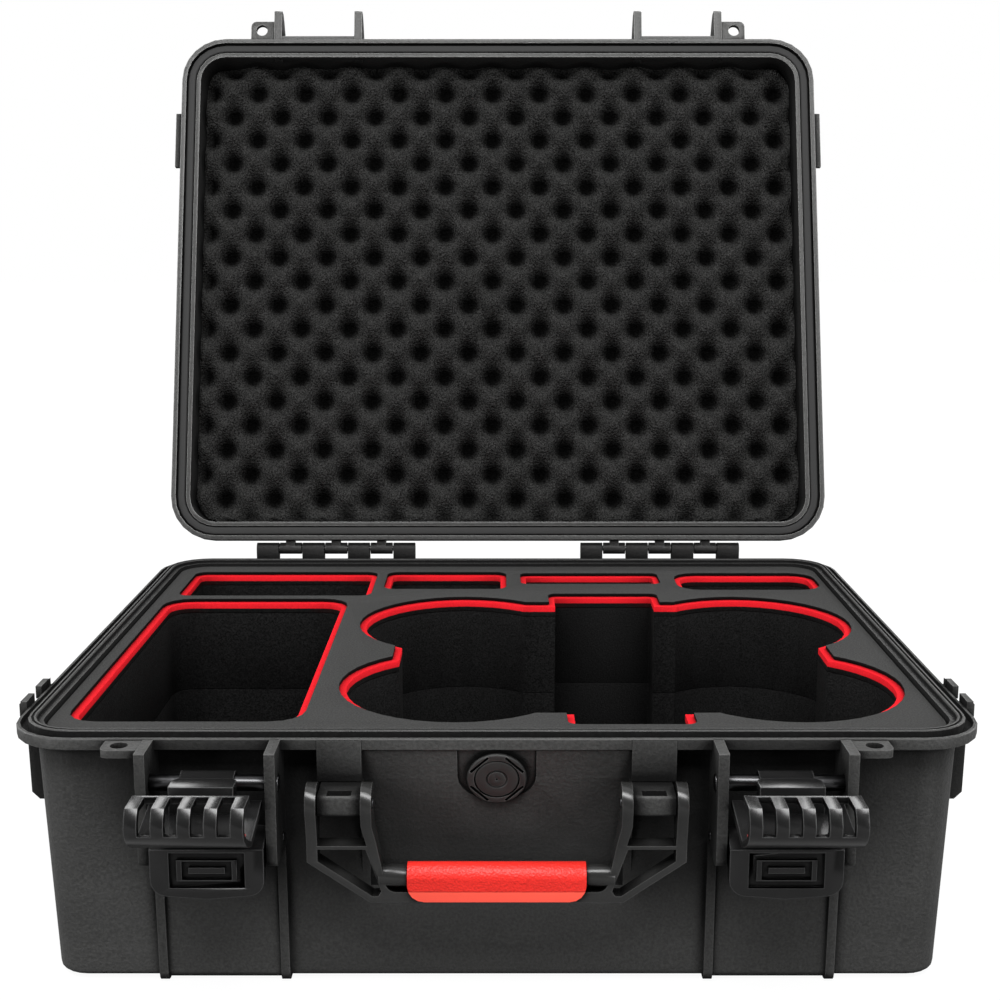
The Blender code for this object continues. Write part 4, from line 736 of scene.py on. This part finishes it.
class CASE_OT_studio(bpy.types.Operator):
    """Set the floor, the lamps, the white room and the camera."""
    bl_idname = "case.studio"
    bl_label = "Studio"

    def execute(self, context):
        studio = context.scene.case_studio
        context.scene.view_settings.view_transform = "Standard"
        self.floor()
        self.room(studio.world, studio.sheen)
        self.lamps(studio)
        self.camera(studio)
        return {"FINISHED"}

    def lamps(self, studio):
        lamp("lamp_key", (0.0, -1.10, 1.62), (0.0, -0.10, 0.12), (1.7, 0.65), studio.key)
        lamp("lamp_above", (0.0, 0.05, 1.50), (0.0, 0.05, 0.1), (1.3, 0.7), studio.above)
        lamp("lamp_back", (0.0, 1.45, 1.15), (0.0, 0.15, 0.20), (1.5, 0.5), studio.back)
        for side in (-1, 1):
            power = studio.fill * (1.0 - studio.fill_lean * side)
            lamp("lamp_fill", (1.25 * side, -1.05, 0.45), (0.0, -0.15, 0.06), (0.4, 0.9), power)
            lamp("lamp_rim", (0.95 * side, 0.35, 0.60), (0.0, 0.12, 0.22), (0.35, 1.0), studio.rim)

    def camera(self, studio):
        camera = bpy.data.cameras.new("photo_camera")
        camera.sensor_width = SENSOR_WIDTH
        camera.lens = studio.lens
        camera.clip_start = NEAR_CLIP
        holder = bpy.data.objects.new("photo_camera", camera)
        bpy.context.scene.collection.objects.link(holder)
        holder.location = studio.place
        holder.rotation_euler = (math.pi / 2 - studio.pitch, 0.0, 0.0)
        bpy.context.scene.camera = holder

    def floor(self):
        bm = bmesh.new()
        bmesh.ops.create_grid(bm, x_segments=2, y_segments=2, size=FLOOR_HALF)
        mesh = bpy.data.meshes.new("studio_floor")
        bm.to_mesh(mesh)
        bm.free()
        plane = bpy.data.objects.new("studio_floor", mesh)
        bpy.context.scene.collection.objects.link(plane)
        plane.location.z = -FLOOR_DROP
        finish = new_finish("floor_white")
        finish.set(base_color=FLOOR_GREY, roughness=0.95)
        glow = finish.add("ShaderNodeEmission", None, {"Color": WHITE, "Strength": FLOOR_GLOW})
        seen = finish.add("ShaderNodeLightPath", out="Is Camera Ray")
        mirrored = finish.add("ShaderNodeLightPath", out="Is Glossy Ray")
        surface = Wire(finish, finish.tree.nodes["Principled BSDF"].outputs[0])
        reach = finish.add("ShaderNodeVectorMath", {"operation": "LENGTH"}, {0: finish.place()}, out="Value")
        far = finish.add("ShaderNodeMapRange", None,
                         {"Value": reach, "From Min": GLOW_RISES[0], "From Max": GLOW_RISES[1]})
        share = seen * (GLOW_SEEN + far * GLOW_FAR) + mirrored * GLOW_MIRRORED
        mixed = finish.add("ShaderNodeMixShader", None, {0: share, 1: surface, 2: glow})
        finish.feed(finish.tree.nodes["Material Output"].inputs["Surface"], mixed)
        mesh.materials.append(finish.owner)

    def room(self, strength, sheen):
        world = bpy.data.worlds.new("white_room")
        bpy.context.scene.world = world
        finish = Finish(world)
        back = finish.tree.nodes["Background"]
        seen = finish.add("ShaderNodeLightPath", out="Is Camera Ray")
        through = finish.add("ShaderNodeLightPath", out="Is Transmission Ray")
        mirrored = finish.add("ShaderNodeLightPath", out="Is Glossy Ray")
        level = strength + (seen + through) * (1.0 - strength) + mirrored * (sheen - strength)
        finish.feed(back.inputs["Color"], WHITE)
        finish.feed(back.inputs["Strength"], level)


# Add-on

STEPS = (CASE_OT_shells, CASE_OT_insert, CASE_OT_lining, CASE_OT_latches, CASE_OT_handle, CASE_OT_hinges,
         CASE_OT_valve, CASE_OT_studio)


class CASE_PT_sidebar(bpy.types.Panel):
    """The steps and the settings of the case."""
    bl_idname = "CASE_PT_sidebar"
    bl_label = "Carrying case"
    bl_space_type = "VIEW_3D"
    bl_region_type = "UI"
    bl_category = "Case"

    def draw(self, context):
        for step in STEPS:
            self.layout.operator(step.bl_idname)
        for group in case_settings():
            column = self.layout.column()
            for name in group.bl_rna.properties.keys():
                if name not in ("name", "rna_type"):
                    column.prop(group, name)


CLASSES = (CaseColours, CaseSizes, StudioSettings, *STEPS, CASE_PT_sidebar)


def register():
    for item in CLASSES:
        bpy.utils.register_class(item)
    bpy.types.Scene.case_colours = bpy.props.PointerProperty(type=CaseColours)
    bpy.types.Scene.case_sizes = bpy.props.PointerProperty(type=CaseSizes)
    bpy.types.Scene.case_studio = bpy.props.PointerProperty(type=StudioSettings)


def unregister():
    del bpy.types.Scene.case_studio
    del bpy.types.Scene.case_sizes
    del bpy.types.Scene.case_colours
    for item in reversed(CLASSES):
        bpy.utils.unregister_class(item)


def main():
    register()
    for step in STEPS:
        group, name = step.bl_idname.split(".")
        getattr(getattr(bpy.ops, group), name)()


if __name__ == "__main__":
    main()
